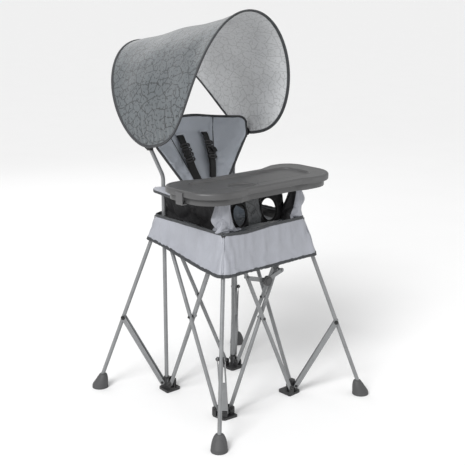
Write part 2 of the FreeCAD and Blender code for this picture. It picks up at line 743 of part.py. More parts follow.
BACK_LOW = (98.0, 668.0)
BACK_SLOPE = 0.16


MIDDLE_SLOPE = 0.483
BACK_THICK = 9


def back_frame(slope=BACK_SLOPE):
    """Plane of the backrest: local X across, local Y up the panel, local Z to the rear."""
    tilt = math.degrees(math.atan(slope))
    turn = FreeCAD.Rotation(V(1, 0, 0), 90 - tilt)
    flip = FreeCAD.Rotation(V(0, 1, 0), 180)
    return FreeCAD.Placement(at(0, *BACK_LOW), turn * flip)


def build_backrest():
    """Padded cloth back: wings held forward by the posts and a middle that reclines more."""
    frame = back_frame()
    upright = FreeCAD.Rotation(V(1, 0, 0), 90)
    sections = []
    profile = [(-1, 65.3, 29.7, -0.3), (172, 190, 83.3, 51.6), (205, 193.5, 93.6, 61.5),
               (263, 199, 111.5, 72)]
    for i, (up, edge, seam, deep) in enumerate(profile):
        front = [(-edge, 0), (-seam, deep), (seam, deep), (edge, 0)]
        rear = [(x, depth + BACK_THICK) for x, depth in front[::-1]]
        corners = [V(x, depth, 0) for x, depth in front + rear]
        lines = [Part.LineSegment(corners[k - 1], corners[k]) for k in range(len(corners))]
        place = FreeCAD.Placement(frame.multVec(V(0, up, 0)), frame.Rotation * upright)
        sections.append(outline(f"backrest_section{i}", lines, place))
    cupped = loft("backrest_cupped", sections)
    points = [(-66, 0), (66, 0), (190, 172), (196, 232), (0, 262), (-196, 232), (-190, 172)]
    radii = [24, 24, 20, 18, 400, 18, 20]
    face = plate("backrest_face", rounded(points, radii), "120", frame)
    return node(common("backrest", cupped, face), "backrest")


def build_harness():
    """Two shoulder straps and a waist strap lying on the backrest, and the centre buckle."""
    frame = back_frame(MIDDLE_SLOPE)
    straps = []
    for sx in (-1, 1):
        top, foot = V(sx * 50, 206, -3.2), V(sx * 32, 44, -3.2)
        run = top - foot
        local = turned(foot + run * 0.5, run, V(1, 0, 0))
        strap = block(f"strap{sx + 1}", V(0, 0, 0), (20, 4, run.Length), frame.multiply(local))
        straps.append(strap)
    straps.append(block("waist_strap", V(0, 27, -5.9), (110, 24, 3), frame))
    straps.append(block("buckle_body", V(0, 27, -13), (42, 34, 10.8), frame))
    node(group("harness", straps), "harness")
    button = block("buckle_button_block", V(0, 27, -22.2), (16, 16, 3), frame)
    node(button, "buckle_button")


# ---------------------------------------------------------------- canopy

def canopy_reach(height, way):
    """Depth of the canopy's outline at a height above its lowest point, by way."""
    share = height / (DIM["canopy_lift"] + DIM["canopy_rise"])
    if way == "front":
        return DIM["canopy_front"] * share ** 0.35
    return DIM["canopy_rear"] * share ** 0.48


def canopy_profile(name, inset):
    """Side outline of the sheet, extruded across the chair."""
    crown = DIM["canopy_lift"] + DIM["canopy_rise"] + 6
    levels = [6, 20, 50, 100, 180, 270, crown]
    curves = []
    ends = []
    for way, sign in (("rear", 1), ("front", -1)):
        edge = [V(sign * (canopy_reach(z, way) - inset), z + inset, 0) for z in levels]
        edge[-1].y = crown
        curve = Part.BSplineCurve()
        curve.interpolate(edge)
        curves.append(curve.toShape())
        ends.append((edge[0], edge[-1]))
    low = Part.LineSegment(ends[1][0], ends[0][0]).toShape()
    high = Part.LineSegment(ends[0][1], ends[1][1]).toShape()
    wire = Part.Wire([low, curves[0], high, curves[1]])
    half = DIM["canopy_half"] + 20
    face = doc.addObject("Part::Feature", name + "_wire")
    face.Shape = wire
    face.Placement = FreeCAD.Placement(V(-half, 0, 0), FreeCAD.Rotation(V(0, 1, 0), V(0, 0, 1),
                                                                       V(1, 0, 0), "ZXY"))
    solid = doc.addObject("Part::Extrusion", name)
    solid.Base = face
    solid.DirMode = "Custom"
    solid.Dir = V(1, 0, 0)
    solid.Solid = True
    return bind(solid, LengthFwd=str(2 * half))


def canopy_shell(name, grow, thick):
    """Elliptical arch over the chair, grow outward and thick inward of its middle surface."""
    depth = 2 * DIM["canopy_front"] + 40
    ovals = []
    for key, offset in (("out", grow), ("in", grow - thick)):
        oval = doc.addObject("Part::Ellipse", f"{name}_{key}_oval")
        bind(oval, MajorRadius=f"Dims.canopy_rise + {offset}",
             MinorRadius=f"Dims.canopy_half + {offset}")
        oval.Placement = FreeCAD.Placement(
            V(0, -depth / 2, DIM["canopy_lift"]),
            FreeCAD.Rotation(V(0, 0, 1), V(1, 0, 0), V(0, 1, 0), "ZXY"))
        solid = doc.addObject("Part::Extrusion", f"{name}_{key}")
        solid.Base = oval
        solid.DirMode = "Custom"
        solid.Dir = V(0, 1, 0)
        solid.Solid = True
        bind(solid, LengthFwd=str(depth))
        ovals.append(solid)
    return cut(name, ovals[0], [ovals[1]])


def canopy_place(obj):
    turn = FreeCAD.Rotation(V(1, 0, 0), -DIM["canopy_tilt"])
    obj.Placement = FreeCAD.Placement(at(0, H - DIM["canopy_ahead"], DIM["canopy_z"]), turn)
    return obj


def build_canopy():
    """One arched sheet with a sprung hoop sewn in its edge."""
    sheet_solid = common("canopy_sheet", canopy_shell("sheet_arch", 1.2, 2.4),
                         canopy_profile("sheet_side", 7.0))
    node(canopy_place(sheet_solid), "canopy_sheet")
    band = common("hoop_band", canopy_shell("hoop_arch", 3.0, 6.0), canopy_profile("hoop_side", 0))
    hoop = cut("canopy_hoop", band, [canopy_profile("hoop_inside", 7.0)])
    node(canopy_place(hoop), "canopy_hoop")
    for side, sx in (("right", -1), ("left", 1)):
        name = "canopy_clip_" + side
        x = sx * (H + DIM["post_flare"])
        centre = at(x, H, DIM["canopy_z"])
        jaw = pin(name + "_jaw", centre, UP, "Dims.tube_dia / 2 + 4", 34)
        arm = block(name + "_arm", centre + V(sx * 8, 0, 0), (8, 15, 22))
        pad = pin(name + "_pad", centre + V(sx * 11.7, 0, 0), V(1, 0, 0), "13", 3)
        bore = pin(name + "_bore", centre, UP, "Dims.tube_dia / 2", 60)
        solid = fuse(name + "_solid", [jaw, arm, pad])
        node(cut(name, solid, [bore]), name)


# ---------------------------------------------------------------- the chair

for corner in CORNERS:
    build_hub(corner)
    build_hub_bolts(corner)
    build_bracket(corner)
    build_leg(corner)
    build_leg_bolts(corner)
    build_foot(corner)
    build_strut(corner)
for side in SIDES:
    build_arm(side, 0)
    build_arm(side, 1)
    build_scissor_bolt(side)
for side, sx in (("right", -1), ("left", 1)):
    build_post(side, sx)
    build_front_post(side, sx)
build_lock()
build_tray()
build_ring()
build_latches()
build_skirt()
build_seat()
build_backrest()
build_harness()
build_canopy()

doc.recompute()
failed = [obj.Name for obj in doc.Objects if "Invalid" in obj.State or "Error" in obj.State]
if failed:
    raise RuntimeError(f"objects failed: {failed}")
for piece in PIECES:
    if piece.Shape.isNull() or not piece.Shape.isValid():
        raise RuntimeError(f"{piece.Label} has no valid shape")
    if piece.Shape.Volume <= 0:
        raise RuntimeError(f"{piece.Label} has no volume")

os.makedirs("parts", exist_ok=True)
for piece in PIECES:
    piece.Shape.exportStep(f"parts/{piece.Label}.step")
print(f"{len(PIECES)} sub-parts written")
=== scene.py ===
import json
import math

import bpy
import numpy as np
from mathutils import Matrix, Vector


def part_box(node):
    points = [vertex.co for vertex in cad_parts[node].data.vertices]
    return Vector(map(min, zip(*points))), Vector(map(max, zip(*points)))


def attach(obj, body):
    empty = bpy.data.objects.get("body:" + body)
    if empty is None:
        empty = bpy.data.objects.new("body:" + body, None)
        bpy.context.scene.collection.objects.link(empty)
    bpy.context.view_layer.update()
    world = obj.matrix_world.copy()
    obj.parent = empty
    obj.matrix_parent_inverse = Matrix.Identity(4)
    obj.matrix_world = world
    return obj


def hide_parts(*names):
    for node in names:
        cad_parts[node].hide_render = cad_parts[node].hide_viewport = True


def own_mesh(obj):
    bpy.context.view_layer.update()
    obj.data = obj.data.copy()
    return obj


# Portable folding high chair.  Lengths are millimetres from the frame's centre on the ground, and
# place() turns them into the row frame's metres.  The child faces -Y, and the child's right is -X.

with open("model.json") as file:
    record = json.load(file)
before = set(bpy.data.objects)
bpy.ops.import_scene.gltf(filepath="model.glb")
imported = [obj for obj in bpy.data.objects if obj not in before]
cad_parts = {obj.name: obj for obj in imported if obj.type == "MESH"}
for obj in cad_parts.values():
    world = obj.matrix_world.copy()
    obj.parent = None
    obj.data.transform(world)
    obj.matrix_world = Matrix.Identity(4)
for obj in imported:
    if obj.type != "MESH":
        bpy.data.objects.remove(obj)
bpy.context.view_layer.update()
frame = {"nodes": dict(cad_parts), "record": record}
scene = bpy.context.scene
MM = 0.001
TURN = 2 * math.pi


def middle(node):
    """Middle of a frame node's box, in millimetres."""
    low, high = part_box(node)
    return (low + high) / 2 / MM


FRONT_POST = middle("front_post_right")
PITCH = -FRONT_POST.x
CENTRE_Y = FRONT_POST.y + PITCH
TRAY_LOW, TRAY_HIGH = (corner.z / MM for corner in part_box("tray"))
TRAY_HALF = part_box("tray")[1].x / MM
TRAY_FRONT, TRAY_REAR = (corner.y / MM - CENTRE_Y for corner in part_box("tray"))
SWIVEL_Z = middle("canopy_clip_right").z
# The corners' spacing when folded, as a share of when open, and how far opposite posts close.
FOLDED_SHARE = 130 / 330
POSTS_CLOSE = 2 * PITCH * (1 - FOLDED_SHARE)


def place(points):
    """Row-frame metres from millimetres about the frame's centre."""
    return (np.asarray(points, float) + (0, CENTRE_Y, 0)) * MM


def smooth(value, low, high):
    """0 below low, 1 above high, and an S-curve between."""
    t = np.clip((np.asarray(value, float) - low) / (high - low), 0, 1)
    return t * t * (3 - 2 * t)


def unit(vectors):
    vectors = np.asarray(vectors, float)
    return vectors / np.maximum(np.linalg.norm(vectors, axis=-1, keepdims=True), 1e-9)


def ripples(points, wavelength, seed, count=7):
    """Smooth repeatable unevenness, about -1 to 1, as a sum of plane waves."""
    random = np.random.default_rng(seed)
    total = 0
    for _ in range(count):
        direction = unit(random.normal(size=3))
        size = wavelength * random.uniform(0.6, 1.7)
        total = total + np.sin(points @ direction * TURN / size + random.uniform(0, TURN))
    return total / math.sqrt(count)


# ---------------- finishes

class Finish:
    """A node material with short names for the nodes it needs."""

    def __init__(self, name, roughness, metallic=0.0, specular=0.5, sheen=0.0, coat=0.0):
        self.material = bpy.data.materials.new(name)
        self.material.use_nodes = True
        self.tree = self.material.node_tree
        self.shader = self.tree.nodes["Principled BSDF"]
        self.shader.inputs["Roughness"].default_value = roughness
        self.shader.inputs["Metallic"].default_value = metallic
        self.shader.inputs["Specular IOR Level"].default_value = specular
        self.shader.inputs["Sheen Weight"].default_value = sheen
        self.shader.inputs["Coat Weight"].default_value = coat
        coordinates = self.tree.nodes.new("ShaderNodeTexCoord")
        self.object = coordinates.outputs["Object"]
        self.uv = coordinates.outputs["UV"]

    def node(self, kind, inputs, **settings):
        made = self.tree.nodes.new("ShaderNode" + kind)
        for key, value in settings.items():
            setattr(made, key, value)
        for key, value in inputs.items():
            if isinstance(value, bpy.types.NodeSocket):
                self.tree.links.new(value, made.inputs[key])
            else:
                made.inputs[key].default_value = value
        return made

    def noise(self, where, scale, detail=3.0, roughness=0.5):
        inputs = {"Vector": where, "Scale": scale, "Detail": detail, "Roughness": roughness}
        return self.node("TexNoise", inputs).outputs["Fac"]

    def range(self, value, low, high, to_low=0.0, to_high=1.0):
        inputs = {"Value": value, "From Min": low, "From Max": high, "To Min": to_low,
                  "To Max": to_high}
        return self.node("MapRange", inputs).outputs["Result"]

    def math(self, operation, first, second=0.0):
        return self.node("Math", {0: first, 1: second}, operation=operation).outputs[0]

    def humps(self, value, pitch):
        """Rounded humps from 0 to 1, one every pitch."""
        turned = self.math("MULTIPLY", value, math.pi / pitch)
        return self.math("ABSOLUTE", self.math("SINE", turned))

    def mottle(self, value, colour, low, high):
        """The colour, from low to high times as bright, by a noise value."""
        return self.mix(self.range(value, 0.3, 0.7), shade(colour, low), shade(colour, high))

    def mix(self, share, first, second):
        made = self.node("Mix", {}, data_type="RGBA")
        for index, value in ((0, share), (6, first), (7, second)):
            if isinstance(value, bpy.types.NodeSocket):
                self.tree.links.new(value, made.inputs[index])
            elif index:
                made.inputs[index].default_value = (*value, 1)
            else:
                made.inputs[index].default_value = value
        return made.outputs[2]

    def separate(self, vector):
        return self.node("SeparateXYZ", {"Vector": vector}).outputs

    def colour(self, socket):
        self.tree.links.new(socket, self.shader.inputs["Base Color"])

    def roughness(self, value, low, high):
        self.tree.links.new(self.range(value, 0.3, 0.7, low, high),
                            self.shader.inputs["Roughness"])

    def bump(self, *layers):
        """Layers of (height, strength, distance in metres), the broadest first."""
        normal = None
        for height, strength, distance in layers:
            inputs = {"Height": height, "Strength": strength, "Distance": distance}
            if normal is not None:
                inputs["Normal"] = normal
            normal = self.node("Bump", inputs).outputs["Normal"]
        self.tree.links.new(normal, self.shader.inputs["Normal"])


def shade(colour, factor):
    return tuple(channel * factor for channel in colour)


def weave(finish, pitch):
    """Plain weave height on the cloth's own coordinates, its threads pitch metres apart."""
    axes = finish.separate(finish.uv)
    warp = finish.humps(axes[0], pitch)
    weft = finish.humps(axes[1], pitch)
    over = finish.node("TexChecker", {"Vector": finish.uv, "Scale": 1 / pitch}).outputs["Fac"]
    lifted = finish.math("MULTIPLY", warp, over)
    under = finish.math("MULTIPLY", weft, finish.math("SUBTRACT", 1.0, over))
    return finish.math("ADD", lifted, under)


def moulded(name, colour, roughness, grain=1400.0, depth=0.00012, specular=0.5):
    """Moulded plastic or rubber with a fine spark-eroded grain and rubbed patches."""
    finish = Finish(name, roughness, specular=specular)
    broad = finish.noise(finish.object, 9.0)
    fine = finish.noise(finish.object, grain, 2.0)
    rubbed = finish.range(broad, 0.35, 0.7)
    finish.colour(finish.mix(rubbed, shade(colour, 0.86), shade(colour, 1.12)))
    finish.roughness(broad, roughness - 0.05, roughness + 0.07)
    finish.bump((finish.noise(finish.object, 160.0), 0.08, 0.0004), (fine, 0.35, depth))
    return finish.material


def powder_coat(name, colour, roughness=0.36):
    """Satin powder coat: fine orange peel, faint mottling and lighter scuffs."""
    finish = Finish(name, roughness, metallic=0.25, coat=0.15)
    peel = finish.noise(finish.object, 620.0, 2.0)
    mottle = finish.noise(finish.object, 26.0)
    scuffs = finish.range(finish.noise(finish.object, 95.0, 6.0, 0.7), 0.66, 0.74)
    base = finish.mix(finish.range(mottle, 0.35, 0.65), shade(colour, 0.93), shade(colour, 1.06))
    finish.colour(finish.mix(finish.math("MULTIPLY", scuffs, 0.3), base, shade(colour, 1.4)))
    finish.roughness(mottle, roughness - 0.05, roughness + 0.08)
    finish.bump((peel, 0.16, 0.0002))
    return finish.material


def nylon(name, colour, roughness=0.44, pitch=0.0009, sheen=0.25, variation=0.06):
    """Coated nylon cloth: plain weave, a soft sheen, uneven dye and crease lines."""
    finish = Finish(name, roughness, sheen=sheen)
    finish.shader.inputs["Sheen Roughness"].default_value = 0.35
    dye = finish.noise(finish.object, 14.0, 4.0)
    slub = finish.noise(finish.node("Mapping", {"Vector": finish.uv, "Scale": (900, 40, 1)}
                                    ).outputs["Vector"], 1.0, 2.0)
    base = finish.mottle(dye, colour, 1 - variation, 1 + variation)
    finish.colour(finish.mix(finish.range(slub, 0.3, 0.7, 0.0, 0.25), base,
                             shade(colour, 0.86)))
    finish.roughness(dye, roughness - 0.06, roughness + 0.06)
    creases = finish.noise(finish.object, 24.0, 5.0, 0.6)
    finish.bump((creases, 0.45, 0.0035), (weave(finish, pitch), 0.35, 0.00014))
    return finish.material


def crackle_lines(finish, cell, width):
    """Cracked-glaze line print: long cells, part of them split again, with broken ends."""
    bend = finish.noise(finish.uv, 0.6 / cell, 2.0)
    offset = finish.node("CombineXYZ", {0: finish.math("MULTIPLY", bend, cell * 0.5),
                                        1: finish.math("MULTIPLY", bend, cell * -0.4)})
    moved = finish.node("VectorMath", {0: finish.uv, 1: offset.outputs[0]}, operation="ADD")
    long_way = finish.node("Mapping", {"Vector": moved.outputs[0], "Scale": (1.0, 0.72, 1.0)})
    lines = []
    for scale, seed in ((1.0, 0.0), (0.52, 3.0)):
        inputs = {"Vector": long_way.outputs[0], "Scale": 1 / (cell * scale), "Randomness": 0.95}
        cells = finish.node("TexVoronoi", inputs, feature="DISTANCE_TO_EDGE",
                            voronoi_dimensions="2D")
        half = width / (cell * scale) / 2
        line = finish.range(cells.outputs["Distance"], half * 0.6, half * 1.5, 1.0, 0.0)
        shown = finish.noise(moved.outputs[0], 1.7 / (cell * scale), 0.0)
        limits = (0.34, 0.40) if seed == 0.0 else (0.50, 0.56)
        lines.append(finish.math("MULTIPLY", line, finish.range(shown, *limits)))
    return finish.math("MAXIMUM", *lines)


def crackle_cloth(name, colour, line_colour, strength, roughness=0.5, sheen=0.3):
    """Coated cloth printed with darker crackle lines."""
    finish = Finish(name, roughness, sheen=sheen)
    dye = finish.noise(finish.object, 6.0, 3.0)
    base = finish.mottle(dye, colour, 0.9, 1.1)
    lines = finish.math("MULTIPLY", crackle_lines(finish, 0.029, 0.0022), strength)
    finish.colour(finish.mix(lines, base, line_colour))
    finish.roughness(dye, roughness - 0.05, roughness + 0.05)
    finish.bump((finish.noise(finish.object, 9.0, 4.0, 0.55), 0.5, 0.012),
                (weave(finish, 0.0011), 0.35, 0.00016))
    return finish.material


STITCH = 0.0042


def tape(name, colour, rib=0.0012, roughness=0.6):
    """Woven tape: ribs across it, their crests painted lighter as a painted highlight, and a
    running stitch beside each edge.
    """
    finish = Finish(name, roughness, sheen=0.05, specular=0.3)
    axes = finish.separate(finish.uv)
    along, around = axes[0], axes[1]
    ribs = finish.humps(along, rib)
    worn = finish.noise(finish.object, 60.0, 3.0)
    base = finish.mottle(worn, colour, 0.8, 1.25)
    # The rib crests are painted lighter: a painted highlight.
    base = finish.mix(finish.math("MULTIPLY", ribs, 0.25), base, shade(colour, 1.5))
    dash = finish.range(finish.math("FRACT", finish.math("MULTIPLY", along, 1 / STITCH)),
                        0.62, 0.70, 1.0, 0.0)
    folded = finish.math("ABSOLUTE", finish.math("SUBTRACT", finish.math(
        "FRACT", finish.math("MULTIPLY", around, 2.0)), 0.5))
    row = finish.range(finish.math("ABSOLUTE", finish.math("SUBTRACT", folded, 0.20)),
                       0.018, 0.030, 1.0, 0.0)
    stitch = finish.math("MULTIPLY", dash, row)
    height = finish.math("SUBTRACT", ribs, finish.math("MULTIPLY", stitch, 1.5))
    finish.colour(finish.mix(stitch, base, shade(colour, 2.6)))
    finish.bump((worn, 0.2, 0.0006), (height, 0.4, 0.00025))
    return finish.material


def net(name, colour, pitch=0.0026):
    """Knitted mesh: rows of small round holes in dark yarn, painted lighter on its fold crests as
    a painted highlight.
    """
    finish = Finish(name, 0.62, sheen=0.04, specular=0.25)
    inputs = {"Vector": finish.uv, "Scale": 1 / pitch, "Randomness": 0.12}
    cells = finish.node("TexVoronoi", inputs, voronoi_dimensions="2D").outputs["Distance"]
    yarn = finish.range(cells, 0.22, 0.42)
    folds_and_highlight = finish.noise(finish.object, 18.0, 4.0)
    base = finish.mix(yarn, shade(colour, 0.25), shade(colour, 1.3))
    # The yarn is painted lighter where the folds rise: a painted highlight on their crests.
    finish.colour(finish.mix(finish.range(folds_and_highlight, 0.35, 0.75, 0.0, 0.5), base,
                             shade(colour, 2.2)))
    finish.bump((folds_and_highlight, 0.3, 0.003), (yarn, 0.5, 0.0005))
    return finish.material


TUBE_GREY = (0.215, 0.22, 0.225)
CLOTH_GREY = (0.315, 0.325, 0.36)
# The backrest's grey is the seat cloth drawn lighter: painted light that offsets the canopy's
# shade on the backrest.
BACK_GREY_PAINTED_LIGHT = (0.42, 0.45, 0.50)
DARK_TAPE = (0.038, 0.040, 0.043)
WEBBING = (0.007, 0.007, 0.0075)

FINISHES = {
    "tube_grey": powder_coat("tube_grey", TUBE_GREY),
    "strut_grey": powder_coat("strut_grey", shade(TUBE_GREY, 1.06), 0.4),
    "bolt_black": moulded("bolt_black", (0.012, 0.012, 0.012), 0.38, 900.0, 0.00006),
    "hub_black": moulded("hub_black", (0.022, 0.022, 0.023), 0.46),
    "foot_grey": moulded("foot_grey", (0.066, 0.066, 0.068), 0.62, 1100.0, 0.00016),
    "tray_grey": moulded("tray_grey", (0.082, 0.082, 0.083), 0.40, 1500.0, 0.00010),
    "latch_grey": moulded("latch_grey", (0.10, 0.10, 0.102), 0.42),
    "seat_cloth": nylon("seat_cloth", CLOTH_GREY),
    # The backrest's cloth is drawn lighter than the seat's: painted light against the canopy's
    # shade.
    "back_cloth_painted_light": nylon("back_cloth_painted_light", BACK_GREY_PAINTED_LIGHT, 0.42),
    "deck_cloth": nylon("deck_cloth", (0.10, 0.118, 0.14), 0.30, sheen=0.2),
    "webbing_black": tape("webbing_black", WEBBING, 0.0017, roughness=0.55),
    "canopy_cloth": crackle_cloth("canopy_cloth", (0.088, 0.101, 0.109), (0.014, 0.016, 0.018),
                                  1.0, 0.42),
    "canopy_lining": crackle_cloth("canopy_lining", (0.56, 0.57, 0.58), (0.24, 0.245, 0.25),
                                   0.45, 0.36, 0.1),
    "crotch_cloth": crackle_cloth("crotch_cloth", (0.075, 0.08, 0.085), (0.018, 0.02, 0.02),
                                  0.9),
    "binding": tape("binding", DARK_TAPE),
    "side_net": net("side_net", (0.010, 0.010, 0.011)),
}


# ---------------- mesh building

def lattice(rows, cols, wrap_rows=False, wrap_cols=False):
    """Quads of a rows by cols lattice, and each one's unwrapped (row, column) corners."""
    faces = []
    cells = []
    for r in range(rows if wrap_rows else rows - 1):
        for c in range(cols if wrap_cols else cols - 1):
            corners = [(r, c), (r, c + 1), (r + 1, c + 1), (r + 1, c)]
            faces.append([(i % rows) * cols + j % cols for i, j in corners])
            cells.append(corners)
    return faces, cells


def close_ends(faces, uvs, rows, cols):
    """Adds the two end faces of a grid that wraps round its columns."""
    for ring in (list(range(cols))[::-1], [(rows - 1) * cols + i for i in range(cols)]):
        faces.append(ring)
        uvs += [(0.0, 0.0)] * cols


def border(rows, cols):
    """The (row, column) places round the edge of a grid, in order."""
    return ([(0, c) for c in range(cols)] + [(r, cols - 1) for r in range(1, rows)]
            + [(rows - 1, c) for c in range(cols - 2, -1, -1)]
            + [(r, 0) for r in range(rows - 2, 0, -1)])


def length(path):
    """Length of a path of points."""
    return float(np.linalg.norm(np.diff(path, axis=0), axis=1).sum())


def build(name, points, faces, finishes, body, uvs=None, which=None):
    """Smooth mesh object riding on a body; uvs are one pair per face corner, in metres."""
    data = bpy.data.meshes.new(name)
    data.from_pydata(place(points).tolist(), [], faces)
    data.polygons.foreach_set("use_smooth", [True] * len(faces))
    for finish in finishes:
        data.materials.append(FINISHES[finish])
    if which is not None:
        data.polygons.foreach_set("material_index", which)
    if uvs is not None:
        layer = data.uv_layers.new(name="cloth")
        layer.data.foreach_set("uv", np.asarray(uvs, np.float32).ravel())
    obj = bpy.data.objects.new(name, data)
    scene.collection.objects.link(obj)
    if body:
        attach(obj, body)
    return obj


def surface(name, grid, finishes, body, wrap_rows=False, wrap_cols=False, which=None):
    """Mesh of a grid of points (rows, columns, 3) with coordinates that follow the cloth."""
    rows, cols = grid.shape[:2]
    faces, cells = lattice(rows, cols, wrap_rows, wrap_cols)
    across = np.linalg.norm(np.diff(grid, axis=1), axis=2).mean() * MM
    along = np.linalg.norm(np.diff(grid, axis=0), axis=2).mean() * MM
    uvs = [(c * across, r * along) for cell in cells for r, c in cell]
    return build(name, grid.reshape(-1, 3), faces, finishes, body, uvs, which)


def thicken(obj, thick, offset=0.0, inner=0):
    """Real thickness for a sheet; inner shifts the material of its far side."""
    solidify = obj.modifiers.new("Thickness", "SOLIDIFY")
    solidify.thickness = thick * MM
    solidify.offset = offset
    solidify.material_offset = inner
    return obj


def subdivide(obj):
    modifier = obj.modifiers.new("Smooth", "SUBSURF")
    modifier.levels = modifier.render_levels = 1


def tangents(path, closed):
    """Unit direction of a path at each of its points."""
    if closed:
        return unit(np.roll(path, -1, 0) - np.roll(path, 1, 0))
    return unit(np.gradient(path, axis=0))


def sweep_grid(path, across, wide, thick, closed=False, sides=14, power=2.4):
    """Grid round a path: a flat rounded section, wide along across and thick the other way."""
    path = np.asarray(path, float)
    run = tangents(path, closed)
    across = np.broadcast_to(np.asarray(across, float), path.shape)
    width_way = unit(across - (across * run).sum(1, keepdims=True) * run)
    thick_way = np.cross(run, width_way)
    angle = np.arange(sides) / sides * TURN
    first = np.sign(np.cos(angle)) * np.abs(np.cos(angle)) ** (2 / power) / 2
    second = np.sign(np.sin(angle)) * np.abs(np.sin(angle)) ** (2 / power) / 2
    wide = np.broadcast_to(wide, len(path))[:, None, None]
    thick = np.broadcast_to(thick, len(path))[:, None, None]
    return (path[:, None] + first[None, :, None] * wide * width_way[:, None]
            + second[None, :, None] * thick * thick_way[:, None])


def sweep(name, path, across, wide, thick, finish, body, closed=False, sides=14, power=2.4):
    """Tape, cord or bar along a path, its coordinates in metres along and shares around."""
    grid = sweep_grid(path, across, wide, thick, closed, sides, power)
    rows = len(grid)
    faces, cells = lattice(rows, sides, closed, True)
    step = length(path) / (rows - 1) * MM
    uvs = [(r * step, c / sides) for cell in cells for r, c in cell]
    if not closed:
        close_ends(faces, uvs, rows, sides)
    return build(name, grid.reshape(-1, 3), faces, [finish], body, uvs)


def join(name, parts):
    """One object from several that ride on one body."""
    bpy.ops.object.select_all(action="DESELECT")
    for part in parts:
        part.select_set(True)
    bpy.context.view_layer.objects.active = parts[0]
    bpy.ops.object.join()
    parts[0].name = name
    parts[0].data.name = name
    return parts[0]


def resample(path, count):
    """count points evenly spaced along an open path."""
    path = np.asarray(path, float)
    travelled = np.concatenate([[0], np.cumsum(np.linalg.norm(np.diff(path, axis=0), axis=1))])
    steps = np.linspace(0, travelled[-1], count)
    return np.stack([np.interp(steps, travelled, axis) for axis in path.T], 1)


def curve_through(points, count):
    """Smooth open curve through a few points (Catmull-Rom), as count even points."""
    points = np.asarray(points, float)
    padded = np.concatenate([[2 * points[0] - points[1]], points,
                             [2 * points[-1] - points[-2]]])
    fine = []
    for i in range(len(points) - 1):
        before, start, end, after = padded[i:i + 4]
        for t in np.linspace(0, 1, 16, endpoint=False):
            fine.append(0.5 * (2 * start + (end - before) * t
                               + (2 * before - 5 * start + 4 * end - after) * t ** 2
                               + (3 * start - before - 3 * end + after) * t ** 3))
    fine.append(points[-1])
    return resample(fine, count)


def rounded_loop(corners, radii, step):
    """Closed outline with an arc at each corner, and the index of each arc's middle point."""
    arcs = []
    count = len(corners)
    for i in range(count):
        corner = np.array(corners[i], float)
        before = unit(np.array(corners[i - 1], float) - corner)
        after = unit(np.array(corners[(i + 1) % count], float) - corner)
        half = math.acos(float(before @ after)) / 2
        centre = corner + unit(before + after) * radii[i] / math.sin(half)
        start = corner + before * radii[i] / math.tan(half) - centre
        end = corner + after * radii[i] / math.tan(half) - centre
        sweep_angle = math.atan2(start[0] * end[1] - start[1] * end[0], float(start @ end))
        pieces = 2 * max(2, round(abs(sweep_angle) * radii[i] / step / 2))
        arc = []
        for k in range(pieces + 1):
            turn = sweep_angle * k / pieces
            arc.append(centre + (start[0] * math.cos(turn) - start[1] * math.sin(turn),
                                 start[0] * math.sin(turn) + start[1] * math.cos(turn)))
        arcs.append(arc)
    points = []
    middles = []
    for i in range(count):
        middles.append(len(points) + len(arcs[i]) // 2)
        points += arcs[i]
        run = arcs[(i + 1) % count][0] - arcs[i][-1]
        pieces = max(1, round(float(np.linalg.norm(run)) / step))
        points += [arcs[i][-1] + run * k / pieces for k in range(1, pieces)]
    return np.array(points), middles


def patch(loop, corners, cols, rows):
    """Grid filling a closed outline between four of its points, in order from the first."""
    def side(i, j):
        last = j if j > i else j + len(loop)
        return loop[np.arange(i, last + 1) % len(loop)]
    a, b, c, d = corners
    bottom = resample(side(a, b), cols)
    right = resample(side(b, c), rows)
    top = resample(side(c, d), cols)[::-1]
    left = resample(side(d, a), rows)[::-1]
    s = np.linspace(0, 1, cols)[None, :, None]
    t = np.linspace(0, 1, rows)[:, None, None]
    return ((1 - t) * bottom[None] + t * top[None] + (1 - s) * left[:, None]
            + s * right[:, None] - (1 - s) * (1 - t) * bottom[0] - s * (1 - t) * bottom[-1]
            - (1 - s) * t * top[0] - s * t * top[-1])


def distance(points, path, closed=True):
    """Distance of 2-D points from a path of straight runs."""
    ends = np.roll(path, -1, 0) if closed else path[1:]
    starts = path if closed else path[:-1]
    flat = points.reshape(-1, 2)
    best = np.full(len(flat), 1e9)
    for start, end in zip(starts, ends):
        run = end - start
        share = np.clip(((flat - start) @ run) / max(run @ run, 1e-9), 0, 1)
        best = np.minimum(best, np.linalg.norm(flat - start - share[:, None] * run, axis=1))
    return best.reshape(points.shape[:-1])


# Settings that every simulated cloth shares.
CLOTH = {"quality": 7, "mass": 0.2, "tension_stiffness": 25, "compression_stiffness": 25,
         "shear_stiffness": 10, "air_damping": 2.0, "vertex_group_mass": "pins"}


def pinned(rows, cols, sides=True):
    """Pins for a grid: its first and last rows, and its sides where sides is true."""
    pins = np.zeros((rows, cols))
    pins[0] = pins[-1] = 1
    if sides:
        pins[:, 0] = pins[:, -1] = 1
    return pins


